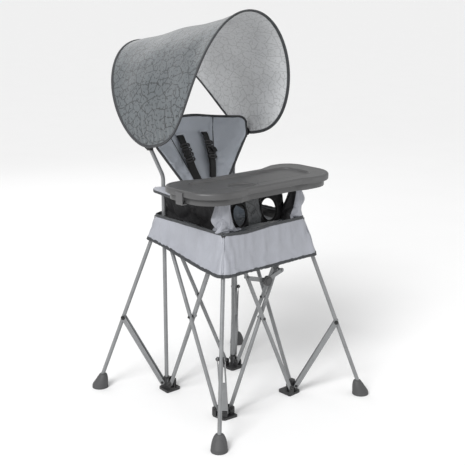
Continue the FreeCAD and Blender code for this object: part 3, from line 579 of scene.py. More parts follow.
def simulate(obj, pins, frames, cap, slack=0.02, gravity=1.0, pressure=0.0, bending=0.08):
    """Cloth simulation applied to the mesh; slack is the spare cloth and cap the most a point
    may move, in millimetres.
    """
    group = obj.vertex_groups.new(name="pins")
    for level in np.unique(np.round(pins, 2)):
        if level > 0:
            group.add(np.flatnonzero(np.round(pins, 2) == level).tolist(), float(level),
                      "REPLACE")
    rest = np.array([v.co for v in obj.data.vertices])
    modifier = obj.modifiers.new("Cloth", "CLOTH")
    settings = modifier.settings
    for key, value in CLOTH.items():
        setattr(settings, key, value)
    settings.bending_stiffness = bending
    settings.shrink_min = -slack
    settings.effector_weights.gravity = gravity
    if pressure:
        settings.use_pressure = True
        settings.uniform_pressure_force = pressure
    modifier.collision_settings.use_collision = False
    modifier.collision_settings.use_self_collision = False
    modifier.point_cache.frame_start = 1
    modifier.point_cache.frame_end = frames
    for step in range(1, frames + 1):
        scene.frame_set(step)
    evaluated = obj.evaluated_get(bpy.context.evaluated_depsgraph_get())
    moved = np.array([v.co for v in evaluated.data.vertices])
    obj.modifiers.remove(modifier)
    scene.frame_set(1)
    shift = moved - rest
    far = np.linalg.norm(shift, axis=1, keepdims=True)
    shift *= np.minimum(1, cap * MM / np.maximum(far, 1e-9))
    obj.data.vertices.foreach_set("co", (rest + shift).astype(np.float32).ravel())
    obj.data.update()


def final_grid(obj, rows, cols):
    """The object's points as a grid again, in millimetres about the frame's centre."""
    points = np.array([v.co for v in obj.data.vertices]) / MM - (0, CENTRE_Y, 0)
    return points.reshape(rows, cols, 3)


ACROSS, ALONG, UP = (1, 0, 0), (0, 1, 0), (0, 0, 1)
REAR_RIGHT, REAR_LEFT, FRONT_RIGHT = (-PITCH, PITCH, 0), (PITCH, PITCH, 0), (-PITCH, -PITCH, 0)


def fold(obj, slot, axis, anchor, share=FOLDED_SHARE):
    """Gives the piece its own copy of its mesh; the slot, axis, anchor and share are not used."""
    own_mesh(obj)


# ---------------- skirt

# Each leg leans out from its bracket's pin to its foot, by LEG_SPREAD along X and along Y.
LEG_PIN, LEG_PIN_Z = 163.2, 588.0
FOOT_REACH = 317.0
LEG_RADIUS = 6.5
LEG_SPREAD = (FOOT_REACH - LEG_PIN) / LEG_PIN_Z
SKIRT_TOP_Z = 606.0
HEM_FRONT_Z, HEM_REAR_Z = 486.0, 529.0


def leg_reach(z):
    """Half width of the cloth that rests on the legs at a height."""
    return LEG_PIN + LEG_RADIUS + LEG_SPREAD * (LEG_PIN_Z - z) + 2.5


def skirt():
    """Flared skirt in four panels, its corners resting on the legs, with bound edges."""
    per_side, rows = 48, 22
    top_half = 176.5
    top, corners = rounded_loop([(-1, 1), (-1, -1), (1, -1), (1, 1)] * np.array(top_half),
                                [26] * 4, 3.0)
    count = len(top)
    ring = []
    for side in range(4):
        first, last = corners[side], corners[(side + 1) % 4]
        run = top[np.arange(first, last + 1 if last > first else last + count + 1) % count]
        ring.append(resample(run, per_side + 1)[:-1])
    ring = np.concatenate(ring)
    depth = smooth(ring[:, 1], -top_half, top_half)
    hem_z = HEM_FRONT_Z + (HEM_REAR_Z - HEM_FRONT_Z) * depth
    share = np.linspace(0, 1, rows)[:, None]
    z = SKIRT_TOP_Z + (hem_z - SKIRT_TOP_Z) * share
    # The front edge is slack between its corners.
    front = smooth(-ring[:, 1], 150, 176)
    z = z - (1 - share) * front * 6 * np.exp(-((ring[:, 0] + 80) / 70) ** 2)
    reach = leg_reach(z) / leg_reach(SKIRT_TOP_Z)
    points = np.stack([ring[:, 0] * reach, ring[:, 1] * reach, z], -1)
    corner_gap = np.abs(np.abs(ring[:, 0]) - np.abs(ring[:, 1]))
    outward = unit(np.concatenate([ring, np.zeros((len(ring), 1))], 1))
    middle_rows = np.sin(math.pi * np.clip(share, 0.04, 0.96))
    # Creases run down from each corner of the top edge and spread towards the hem.
    spread = corner_gap / (0.55 + 0.75 * share)
    pulls = np.exp(-spread / 44) * np.sin(spread / 5.2 + 1.1 * np.sin(share * 5 + ring[:, 0]))
    slant = np.sin((corner_gap - 75 * share) / 13.0) * np.exp(-((corner_gap - 90) / 70) ** 2)
    puckers = pulls * 2.6 * middle_rows + slant * 1.3 * middle_rows
    points += outward * puckers[..., None]
    points[..., :2] += outward[..., :2] * (ripples(points, 62, 5) * 1.1)[..., None]
    loose = surface("skirt_cloth", points, ["seat_cloth"], None, wrap_cols=True)
    pins = np.zeros(points.shape[:2])
    pins[0] = 1
    pins[:, corner_gap < 5] = 1
    pins[-1] = np.maximum(pins[-1], 0.6)
    simulate(loose, pins, 26, cap=9, slack=0.022, gravity=0.6, bending=0.35)
    points = final_grid(loose, rows, 4 * per_side)
    bpy.data.objects.remove(loose)
    homes = {
        "right": ("bracket_rear_right", ALONG, REAR_RIGHT),
        "front": ("bracket_front_right", ACROSS, FRONT_RIGHT),
        "left": ("bracket_rear_left", ALONG, REAR_LEFT),
        "rear": ("bracket_rear_right", ACROSS, REAR_RIGHT),
    }
    for side, (label, (body, axis, anchor)) in enumerate(homes.items()):
        columns = np.arange(side * per_side, (side + 1) * per_side + 1) % (4 * per_side)
        panel = points[:, columns]
        name = "skirt_" + label
        cloth = thicken(surface(name, panel, ["seat_cloth"], body), 0.9)
        down = unit(panel[1] - panel[0])
        edges = [sweep(name + "_top", panel[0] - down * 3.0, down, 10, 3.4, "binding", body)]
        down = unit(panel[-1] - panel[-2])
        edges.append(sweep(name + "_hem", panel[-1] - down * 3.5, down, 11, 3.4, "binding",
                           body))
        seam = panel[1:-2, 0]
        out = unit((seam[0, 0], seam[0, 1], 0))
        edges.append(sweep(name + "_seam", seam + out * 0.6, np.cross(out, UP), 4.5, 1.6,
                           "seat_cloth", body, sides=8))
        trim = join(name + "_trim", edges)
        fold(cloth, "seat_cloth", axis, anchor)
        fold(trim, "binding", axis, anchor)
    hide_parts("skirt")


# ---------------- seat

def deck():
    """Seat deck between the skirt's top edges, its middle sagging, in a front and a rear half."""
    rows, cols = 26, 60
    half = 172.0
    homes = (("front", "bracket_front_right", -half, FRONT_RIGHT),
             ("rear", "bracket_rear_right", half, REAR_RIGHT))
    for label, body, outer, anchor in homes:
        y = np.linspace(outer, 0, rows)[:, None]
        x = np.linspace(-half, half, cols)[None, :]
        x, y = np.broadcast_arrays(x, y)
        sag = (1 - smooth(np.abs(x), 60, half)) * (1 - smooth(np.abs(y), 40, half))
        corner = smooth(np.abs(x), 105, 125) * smooth(np.abs(y), 105, 125)
        z = 605.5 - 16 * sag * (1 - corner) - 2.5 * (1 - corner) * (1 - smooth(np.abs(x), 0, half))
        points = np.stack([x, y, z], -1)
        points[..., 2] += ripples(points, 46, 11) * 1.6 * (1 - corner) * smooth(
            half - np.maximum(np.abs(x), np.abs(y)), 0, 30)
        # The deck's side strips, behind its front, are drawn near-black.
        dark_side_strips = (np.abs(x) > 126) & (y > -118)
        which = dark_side_strips[:-1, :-1].ravel().astype(int)
        cloth = surface("seat_deck_" + label, points, ["deck_cloth", "side_net"], body,
                        which=which)
        pins = pinned(rows, cols)
        pins[corner > 0.5] = 1
        simulate(cloth, pins, 16, cap=10, gravity=0.8)
        thicken(cloth, 0.9)
        fold(cloth, "seat_cloth", ACROSS, anchor)


def hole_outline(centre_x, centre_z, radius_x, radius_z, count):
    """Rounded leg opening, a little narrower at its foot."""
    angle = np.arange(count) / count * TURN
    x = np.cos(angle)
    z = np.sin(angle)
    narrow = 1 - 0.14 * (1 - z) / 2
    return np.stack([centre_x + x * radius_x * narrow, centre_z + z * radius_z], 1)


def front_y(x, z):
    """The front panel leans out at its foot and hangs in from the tray at its head."""
    foot = 1 - smooth(z, 605, 690)
    return -112 - 16 * foot + 6 * np.cos(x / 40) + 10 * smooth(np.abs(x), 80, 130)


def front_panel():
    """Front of the seat: a printed middle between two bound leg openings."""
    low, high, half = 603.0, 707.0, 132.0
    step = 4.0
    radii = (33, 36)
    openings = [hole_outline(side * 62, 642, *radii, 64) for side in (-1, 1)]
    xs = np.arange(-half, half + 0.1, step)
    zs = np.arange(low, high + 0.1, step)
    flat = np.stack(np.meshgrid(xs, zs), -1)
    inside = np.zeros(flat.shape[:2], bool)
    for opening in openings:
        centre = opening.mean(0)
        reach = np.linalg.norm((flat - centre) / radii, axis=-1)
        inside |= reach < 0.96
        near = (reach >= 0.96) & (reach < 1.13)
        away = flat[near][:, None] - opening[None]
        flat[near] = opening[np.argmin((away ** 2).sum(-1), 1)]
    faces, cells = lattice(*inside.shape)
    kept = [i for i, cell in enumerate(cells) if not any(inside[corner] for corner in cell)]
    which = [int(abs(xs[cells[i][0][1]] + step / 2) >= 30) for i in kept]
    uvs = [flat[corner] * MM for i in kept for corner in cells[i]]
    x, z = flat[..., 0], flat[..., 1]
    points = np.stack([x, front_y(x, z), z], -1).reshape(-1, 3)
    points[:, 1] += ripples(points, 40, 21) * 1.8
    panel = build("seat_front_panel", points, [faces[i] for i in kept],
                  ["crotch_cloth", "side_net"], "bracket_front_right", uvs, which)
    bpy.context.view_layer.objects.active = panel
    panel.select_set(True)
    bpy.ops.object.mode_set(mode="EDIT")
    bpy.ops.mesh.select_all(action="SELECT")
    bpy.ops.mesh.delete_loose()
    bpy.ops.object.mode_set(mode="OBJECT")
    thicken(panel, 1.2)
    edges = []
    for opening in openings:
        path = np.stack([opening[:, 0], front_y(*opening.T), opening[:, 1]], 1)
        inward = unit(np.append(opening.mean(0), 0)[[0, 2, 1]] - path)
        edges.append(sweep("edge", path, inward, 10, 4.2, "webbing_black",
                           "bracket_front_right", closed=True))
    for side in (-1, 1):
        z = np.linspace(604, 704, 20)
        x = np.full(20, side * 31.0) + side * 3 * np.sin((z - 604) / 30)
        path = np.stack([x, front_y(x, z) - 1.4, z], 1)
        edges.append(sweep("edge", path, ACROSS, 5, 2.4, "webbing_black",
                           "bracket_front_right"))
    trim = join("seat_front_trim", edges)
    fold(panel, "canopy_cloth", ACROSS, FRONT_RIGHT)
    fold(trim, "webbing_black", ACROSS, FRONT_RIGHT)


def column(label, side, twist):
    """Loose sleeve of cloth round a front post, crumpled at its foot."""
    rows, cols = 44, 56
    head, foot = 707, 607
    z = np.linspace(head, foot, rows)[:, None]
    angle = (np.arange(cols) / cols * TURN)[None, :]
    drop = smooth(head - z, 0, head - foot)
    belly = np.exp(-((z - 662) / 20) ** 2)
    # A tail of cloth trails from the foot, where the sleeve turns by twist.
    away = np.angle(np.exp(1j * (angle - twist)))
    tail = 30 * smooth(650 - z, 0, 44) * np.exp(-(away / 0.40) ** 2)
    radius = 21 + 9 * drop + 10 * belly + tail
    folds_and_highlight = np.sin(angle * 3 + z / 15.0 + side) * 2.6 + np.sin(angle * 4 - z / 11.0) * 1.5
    pleat = np.sin((z - 612) / 100 * TURN * 1.9 + 1.9 * np.sin(angle + side)) * 3.4 * drop
    radius = radius + folds_and_highlight * (0.5 + drop) + pleat
    lean_x = side * (PITCH + 2 - 12 * drop + 5 * np.sin((z - foot) / 100 * math.pi))
    lean_y = -(PITCH - 2 - 12 * drop)
    points = np.stack([lean_x + radius * np.cos(angle),
                       lean_y + radius * 0.86 * np.sin(angle), z + 0 * angle], -1)
    inner_rows = smooth(z, foot, foot + 18) * smooth(-z, -head, 17 - head)
    points[..., 2] += 5 * np.sin(angle * 2 + side) * inner_rows
    # Net shows inside the left sleeve and round the right one's top.
    inner = (side * np.cos(angle) < -0.15) & (np.sin(angle) > -0.75) & (side > 0)
    top = (np.arange(rows - 1) < 5)[:, None] & (side < 0)
    dark = (inner | top).astype(int).ravel()
    sleeve = surface("post_sleeve_" + label, points, ["seat_cloth", "side_net"],
                     "bracket_front_" + label, wrap_cols=True, which=dark)
    simulate(sleeve, pinned(rows, cols, sides=False), 20, cap=13, slack=0.10, gravity=0.7,
             bending=0.02)
    thicken(sleeve, 0.9)
    subdivide(sleeve)


def side_panel(label, side, front, floor):
    """Net from the armrest down to the deck, bound along its front edge."""
    rows, cols = 20, 56
    body = "bracket_rear_" + label
    y = np.linspace(168, front, cols)[None, :]
    share = np.linspace(0, 1, rows)[:, None]
    high = 688.0
    low = 604 + (1 - smooth(y, front, front + 60)) * floor
    z = high + (low - high) * share
    y = np.broadcast_to(y, z.shape)
    x = side * (PITCH + 4 - 26 * np.sin(share * math.pi / 2 * 0.9) * smooth(y, -140, -20)
                + 14 * share ** 4)
    points = np.stack([x + 0 * y, y, z], -1)
    points[..., 0] += ripples(points, 52, 31 + side) * 2.0 * np.sin(share * math.pi)
    panel = surface("side_net_" + label, points, ["side_net"], body)
    simulate(panel, pinned(rows, cols), 14, cap=8, slack=0.03, gravity=0.6)
    thicken(panel, 0.9)
    anchor = (side * PITCH, PITCH, 0)
    fold(panel, "webbing_black", ALONG, anchor)
    edge = final_grid(panel, rows, cols)
    strip = sweep("side_net_edge_" + label, edge[:, -1], ALONG, 7, 3.0, "webbing_black", body)
    fold(strip, "webbing_black", ALONG, anchor)


def armrest(label, side):
    """Padded flap along the top of the side, round the rear post and under the tray."""
    body = "bracket_rear_" + label
    spine = curve_through([(side * 158, 186, 692), (side * 166, 160, 694),
                           (side * 170, 110, 693), (side * 172, 50, 690),
                           (side * 170, -20, 688), (side * 166, -90, 690)], 60)
    share = np.linspace(0, 1, 60)
    wide = 38 * smooth(share, -0.02, 0.16) * (1 - 0.25 * share) + 4
    thick = 7.5 * smooth(share, -0.03, 0.08) + 1.5
    band = sweep_grid(spine, (1, 0, -0.22 * side), wide, thick, sides=24, power=2.6)
    band[..., 2] += ripples(band, 38, 41 + side) * 1.3
    rows, cols = band.shape[:2]
    faces, cells = lattice(rows, cols, False, True)
    uvs = [(c * 0.004, r * 0.005) for cell in cells for r, c in cell]
    close_ends(faces, uvs, rows, cols)
    pad = build("armrest_" + label, band.reshape(-1, 3), faces, ["seat_cloth"], body, uvs)
    subdivide(pad)
    lower = spine + np.stack([side * wide / 2 * 0.96, 0 * share, -3.2 + 0 * share], 1)
    tip = np.array([[side * 150, 190, 690.0]])
    rim = sweep("armrest_rim_" + label, np.concatenate([tip, lower]), UP, 8.5, 4, "binding",
                body)
    anchor = (side * PITCH, PITCH, 0)
    fold(pad, "seat_cloth", ALONG, anchor)
    fold(rim, "binding", ALONG, anchor)


# ---------------- backrest and harness

BACK_FOOT = np.array([0, 98.0, 668.0])
EDGE_TILT = math.atan(0.16)
CUP_SLOPE = 0.30
BACK_HALF = 200
BACK_FOLD = (ACROSS, (-BACK_HALF, PITCH, 0), 1 - POSTS_CLOSE / (2 * BACK_HALF))


def seam_x(t):
    """Half width of the middle panel at a height up the back."""
    return 30 + 0.31 * t


def edge_x(t):
    """Half width of the whole back at a height up it."""
    return np.interp(t, [0, 172, 232, 262], [66, 190, 196, 196])


def back_point(x, t, out=0.0):
    """Point of the back: x across, t up it, and out towards the child."""
    x, t, out = np.broadcast_arrays(*(np.asarray(v, float) for v in (x, t, out)))
    recline = CUP_SLOPE * (t - 0.4 * np.maximum(t - 205, 0))
    wing = smooth(np.abs(x), seam_x(t) - 14, edge_x(t) + 22)
    wing = np.minimum(wing / 0.93, 1)
    depth = recline * (1 - wing)
    up = np.array([0, math.sin(EDGE_TILT), math.cos(EDGE_TILT)])
    back = np.array([0, math.cos(EDGE_TILT), -math.sin(EDGE_TILT)])
    return (BACK_FOOT + x[..., None] * (1, 0, 0) + t[..., None] * up
            + (depth - out)[..., None] * back)


def backrest():
    """Three padded panels between sewn seams, piped all round."""
    # The same outline as edge_x gives, closed over the head.
    corners = [(-66, 0), (66, 0), (190, 172), (196, 232), (0, 262), (-196, 232), (-190, 172)]
    radii = [24, 24, 30, 22, 400, 22, 30]
    loop, middles = rounded_loop(corners, radii, 5.0)
    rows, cols = 56, 76
    flat = patch(loop, [middles[0], middles[1], middles[3], middles[5]], cols, rows)
    x, t = flat[..., 0], flat[..., 1]
    rim = distance(flat, loop)
    seam = np.abs(np.abs(x) - seam_x(t))
    full = 5.2 * (1 - np.exp(-rim / 12)) * (1 - 0.72 * np.exp(-(seam / 6.5) ** 2))
    full = full + ripples(np.stack([x, t, 0 * x], -1), 60, 51) * 0.7 * smooth(rim, 4, 30)
    front = back_point(x, t, full - 3.5)
    rear = back_point(x, t, -3.2 * (1 - np.exp(-rim / 9)) - 5.0)
    points = np.concatenate([front.reshape(-1, 3), rear.reshape(-1, 3)])
    faces, cells = lattice(rows, cols)
    shift = rows * cols
    edge = border(rows, cols)
    all_faces = [face[::-1] for face in faces] + [[i + shift for i in face] for face in faces]
    uvs = [flat[r, c] * MM for cell in cells for r, c in cell[::-1]]
    uvs += [flat[r, c] * MM for cell in cells for r, c in cell]
    for i, (r, c) in enumerate(edge):
        following = edge[(i + 1) % len(edge)]
        a, b = r * cols + c, following[0] * cols + following[1]
        all_faces.append([a, b, b + shift, a + shift])
        uvs += [flat[r, c] * MM, flat[following] * MM, flat[following] * MM, flat[r, c] * MM]
    pad = build("backrest_pad", points, all_faces, ["back_cloth_painted_light"], "rear_right", uvs)
    pins = np.zeros((2, rows, cols))
    pins[1] = 1
    pins[0] = (rim < 3) | (seam < 3.4)
    simulate(pad, pins, 18, cap=7, slack=0.035, gravity=0.1, pressure=2.2, bending=0.15)
    subdivide(pad)
    trims = []
    path = back_point(loop[:, 0], loop[:, 1], -4.0)
    inward = unit(back_point(0, 150.0) - path)
    trims.append(sweep("trim", path, inward, 9, 6.4, "binding", "rear_right", closed=True))
    for side in (-1, 1):
        t = np.linspace(4, 246, 60)
        line = back_point(side * seam_x(t), t, -1.4)
        trims.append(sweep("trim", line, ACROSS, 3.4, 2.2, "binding", "rear_right", sides=8))
        slot_path = back_point(np.linspace(-19, 19, 12) + side * 50, 200.0, 2.6)
        trims.append(sweep("trim", slot_path, UP, 6.5, 2.4, "back_cloth_painted_light", "rear_right"))
    piping = join("backrest_piping", trims)
    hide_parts("backrest")
    fold(pad, "seat_cloth", *BACK_FOLD)
    fold(piping, "binding", *BACK_FOLD)


def lower_back():
    """Cloth between the back's foot and the deck."""
    rows, cols = 16, 40
    share = np.linspace(0, 1, rows)[:, None]
    x = np.linspace(-1, 1, cols)[None, :] * (74 + 50 * share)
    z = 700 - 96 * share + 0 * x
    y = 112 + 6 * share - 5 * np.sin(share * math.pi) + 0 * x
    points = np.stack([x, y, z], -1)
    points[..., 1] += ripples(points, 42, 61) * 1.8 * np.sin(share * math.pi)
    panel = thicken(surface("lower_back", points, ["back_cloth_painted_light"], "bracket_rear_right"), 1.0)
    fold(panel, "seat_cloth", ACROSS, REAR_RIGHT)


def strap_path(side):
    """Shoulder strap from its slot down the back, standing a little off the cloth."""
    t = np.linspace(199, 38, 70)
    share = (199 - t) / 161
    x = side * (50 + 5 * np.sin(share * math.pi) - 20 * share ** 1.4)
    out = 4.5 + 6 * np.sin(share * math.pi) + 1.6 * np.sin(share * 9 + side * 2)
    out = out - 5 * (1 - smooth(share, 0, 0.06))
    return back_point(x, t, out)


def adjuster(centre, run, across):
    """Three-bar slide: a rounded frame round the strap with two raised bars across it."""
    half_wide, half_long = 16.5, 13.5
    loop, _ = rounded_loop([(-half_wide, -half_long), (half_wide, -half_long),
                            (half_wide, half_long), (-half_wide, half_long)], [6] * 4, 2.5)
    normal = np.cross(across, run)
    path = centre + loop[:, :1] * across + loop[:, 1:] * run
    parts = [sweep("bar", path, run, 6.0, 5.6, "hub_black", "rear_right", closed=True)]
    for shift, lift in ((-4.2, 1.6), (4.2, 2.4)):
        line = np.linspace(-half_wide, half_wide, 16)[:, None] * across
        bow = (1 - np.linspace(-1, 1, 16) ** 2)[:, None] * normal * lift
        parts.append(sweep("bar", centre + line + run * shift + bow, run, 6.4, 5.0,
                           "hub_black", "rear_right"))
    return parts


def harness():
    """Two shoulder straps with slides, the waist belt, its pad and the centre buckle."""
    straps = []
    plastic = []

    def strap(path, across, wide, thick, power=5, lift=0.0):
        path = path + unit(np.cross(np.gradient(path, axis=0), across)) * -lift
        straps.append(sweep("strap", path, across, wide, thick, "webbing_black", "rear_right",
                            power=power))

    for side in (-1, 1):
        path = strap_path(side)
        across = unit((1, 0.15 * side, 0))
        strap(path, across, 25, 2.2)
        strap(path[20:62], across, 26, 2.4, lift=2.6)
        strap(path[34:66], across, 29, 3.6, power=3, lift=4.6)
        for index in (20, 33):
            run = unit(path[index] - path[index + 2])
            out = unit(np.cross(across, run))
            centre = path[index] + out * 3.2
            plastic += adjuster(centre, run, unit(np.cross(run, out)))
        tail = curve_through([path[21], path[21] + (side * 8, -14, -6),
                              path[25] + (side * 13, -16, -10)], 20)
        strap(tail, across, 20, 1.8)
        belt = curve_through([back_point(side * 66, 22, 3), back_point(side * 48, 30, 9),
                              back_point(side * 22, 30, 13)], 24)
        strap(belt, UP, 26, 3.0, power=4)
        leg = curve_through([back_point(side * 8, 22, 12), back_point(side * 12, -6, 26),
                             back_point(side * 14, -34, 34)], 20)
        strap(leg, ACROSS, 20, 1.9)
    webbing = join("harness_webbing", straps)
    up = unit(back_point(0, 40) - back_point(0, 20))
    out = unit(np.cross(ACROSS, up))
    centre = back_point(0, 30, 15.5)
    loop, _ = rounded_loop([(-21, -17), (21, -17), (21, 17), (-21, 17)], [9] * 4, 2.5)
    rings = []
    for inset, depth in ((2.4, -5.2), (0.0, -3.2), (0.0, 2.6), (1.4, 4.4), (4.2, 5.4)):
        shrink = 1 - inset / 21
        rings.append(centre + loop[:, :1] * shrink * ACROSS
                     + loop[:, 1:] * shrink * up + out * depth)
    grid = np.array(rings)
    faces, cells = lattice(len(rings), len(loop), False, True)
    uvs = [(c * 0.002, r * 0.002) for cell in cells for r, c in cell]
    close_ends(faces, uvs, len(rings), len(loop))
    plastic.append(build("buckle_shell", grid.reshape(-1, 3), faces, ["hub_black"],
                         "rear_right", uvs))
    slides = join("harness_buckles", plastic)
    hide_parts("harness")
    fold(webbing, "webbing_black", *BACK_FOLD)
    fold(slides, "hub_black", *BACK_FOLD)


# ---------------- canopy

ARCH_HALF, ARCH_RISE, ARCH_LIFT = 217.0, 335.0, 29.0
ARCH_AHEAD = 30.0
CANOPY_FRONT, CANOPY_REAR = 290.0, 278.0
CANOPY_TILT = math.radians(11.5)


def canopy_point(angle, depth, out=0.0):
    """Point of the arch: angle from the crown, depth to the rear, and out from its surface."""
    x = (ARCH_HALF + out) * np.sin(angle)
    height = ARCH_LIFT + (ARCH_RISE + out) * np.cos(angle)
    y = depth * math.cos(CANOPY_TILT) + height * math.sin(CANOPY_TILT)
    z = -depth * math.sin(CANOPY_TILT) + height * math.cos(CANOPY_TILT)
    return np.stack([x, y + PITCH - ARCH_AHEAD, z + SWIVEL_Z], -1)


def canopy_depth(angle, share):
    """Depth of a point whose share runs from -1 on the front rim to 1 on the rear rim."""
    height = np.maximum(ARCH_LIFT + ARCH_RISE * np.cos(angle), 0) / (ARCH_LIFT + ARCH_RISE)
    return np.where(share < 0, CANOPY_FRONT * height ** 0.35, CANOPY_REAR * height ** 0.48) * share


def canopy():
    """One printed sheet, silver inside, stretched in a sprung hoop that its binding hides."""
    rows, cols = 130, 190
    end = math.acos(-ARCH_LIFT / ARCH_RISE)
    u = np.linspace(-1, 1, cols)[None, :]
    v = np.linspace(-1, 1, rows)[:, None]
    across = u * np.sqrt(1 - v * v / 2)
    along = v * np.sqrt(1 - u * u / 2)
    angle = across * end
    width = np.sqrt(np.maximum(1 - across ** 2, 1e-6))
    share = np.clip(along / width, -1, 1)
    depth = canopy_depth(angle, share) * 0.992
    rim = 1 - np.maximum(np.abs(u), np.abs(v))
    mean_radius = 290
    laid_flat = np.stack([angle * mean_radius, depth, 0 * angle], -1)
    soft = smooth(rim, 0.0, 0.35)
    out = -3.5 * soft + ripples(laid_flat, 150, 71, 9) * 3.0 * soft
    low = smooth(np.abs(angle), 0.95, 1.5)
    sag = np.sin(laid_flat[..., 0] / 26 + 0.8 * np.sin(depth / 60)) * 3.2
    out = out + sag * soft * smooth(np.abs(angle), 0.7, 1.15) * (1 - 0.4 * low)
    gather = np.sin(depth / 3.4) * np.exp(-rim / 0.10) * low * 0.7
    points = canopy_point(angle, depth, out + gather)
    faces, cells = lattice(rows, cols)
    uvs = [laid_flat[r, c, :2] * MM for cell in cells for r, c in cell]
    sheet = build("canopy_cover", points.reshape(-1, 3), faces,
                  ["canopy_cloth", "canopy_lining"], "canopy", uvs)
    thicken(sheet, 1.0, -1.0, 1)
    turns = np.linspace(0, TURN, 420, endpoint=False)
    angle = np.cos(turns) * end
    depth = canopy_depth(angle, np.clip(np.sin(turns) / 0.03, -1, 1))
    path = canopy_point(angle, depth)
    path = resample(np.concatenate([path, path[:1]]), 361)[:-1]
    inward = unit(canopy_point(0.0, 0.0) - path)
    binding = sweep("canopy_binding", path, inward, 10.5, 6.8, "binding", "canopy", closed=True)
    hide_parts("canopy_sheet")
    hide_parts("canopy_hoop")
    drawn_in = (ACROSS, (-ARCH_HALF, PITCH, 0), 1 - POSTS_CLOSE / (2 * ARCH_HALF))
    fold(sheet, "canopy_cloth", *drawn_in)
    fold(binding, "binding", *drawn_in)


# ---------------- tray

def tray_loop(inset):
    """Tray plan, the same as the CAD tray's, drawn in by inset."""
    half, front, rear = TRAY_HALF - inset, TRAY_FRONT + inset, TRAY_REAR - inset
    front_middle, hollow = front + 12, -14 - inset
    corners = [
        (-half, front), (-150 + inset, front), (-112 + inset, front_middle),
        (112 - inset, front_middle), (150 - inset, front), (half, front),
        (half, rear), (190 + inset, rear), (120 + inset, hollow), (-120 - inset, hollow),
        (-190 - inset, rear), (-half, rear),
    ]
    end, back = 100 - inset, 64 - inset
    loop, middles = rounded_loop(corners, [end, 34, 34, 34, 34, end, back, 34, 34, 34, 34, back],
                                 4.0)
    return loop, [middles[0], middles[5], middles[6], middles[11]]


def box_distance(points, low, high, radius):
    """Signed distance from a rounded rectangle, negative inside."""
    centre = (np.array(low) + high) / 2
    half = (np.array(high) - low) / 2 - radius
    q = np.abs(points - centre) - half
    return np.linalg.norm(np.maximum(q, 0), axis=-1) + np.minimum(q.max(-1), 0) - radius


def tray():
    """Moulded tray: a rolled rim, a stepped main recess and a cup recess."""
    rows, cols = 150, 300
    loop, ends = tray_loop(0)
    flat = patch(loop, ends, cols, rows)
    rim = distance(flat, loop)
    shoulder = 7.0
    roll = np.clip(shoulder - rim, 0, shoulder)
    z = TRAY_HIGH - shoulder + np.sqrt(np.maximum(shoulder ** 2 - roll ** 2, 0))
    z = z - 0.8 * smooth(rim, 11, 16)
    recess = box_distance(flat, (-212, -168), (212, -40), radius=30)
    cup_centre, cup_radius = (-74, -146), 46
    cup = np.linalg.norm(flat - cup_centre, axis=-1) - cup_radius
    recess_depth, cup_depth = 6.6, 12.0
    sunk = recess_depth * (1 - smooth(recess, -3.4, 0.4))
    deep = cup_depth * (1 - smooth(cup, -3.6, 0.4))
    z = z - np.maximum(sunk, deep)
    z = z + 0.7 * np.exp(-((np.minimum(recess, cup) - 3.6) / 2.2) ** 2)
    top = np.concatenate([flat, z[..., None]], -1).reshape(-1, 3)
    faces, _ = lattice(rows, cols)
    previous = [r * cols + c for r, c in border(rows, cols)]
    points = [top]
    start = len(top)
    outline = flat.reshape(-1, 2)[previous]
    inward = unit(np.array([0, -100]) - outline)
    for draw_in, height in ((0.0, TRAY_LOW + 3), (0.6, TRAY_LOW + 0.8), (1.6, TRAY_LOW),
                            (4.6, TRAY_LOW), (5.2, TRAY_LOW + 6)):
        ring = np.concatenate([outline + inward * draw_in,
                               np.full((len(outline), 1), height)], 1)
        points.append(ring)
        current = list(range(start, start + len(ring)))
        start += len(ring)
        for i in range(len(ring)):
            j = (i + 1) % len(ring)
            faces.append([previous[i], previous[j], current[j], current[i]][::-1])
        previous = current
    faces.append(previous)
    body = build("tray_shell", np.concatenate(points), faces, ["tray_grey"], "tray")
    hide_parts("tray")


# ---------------- feet and carried-over parts

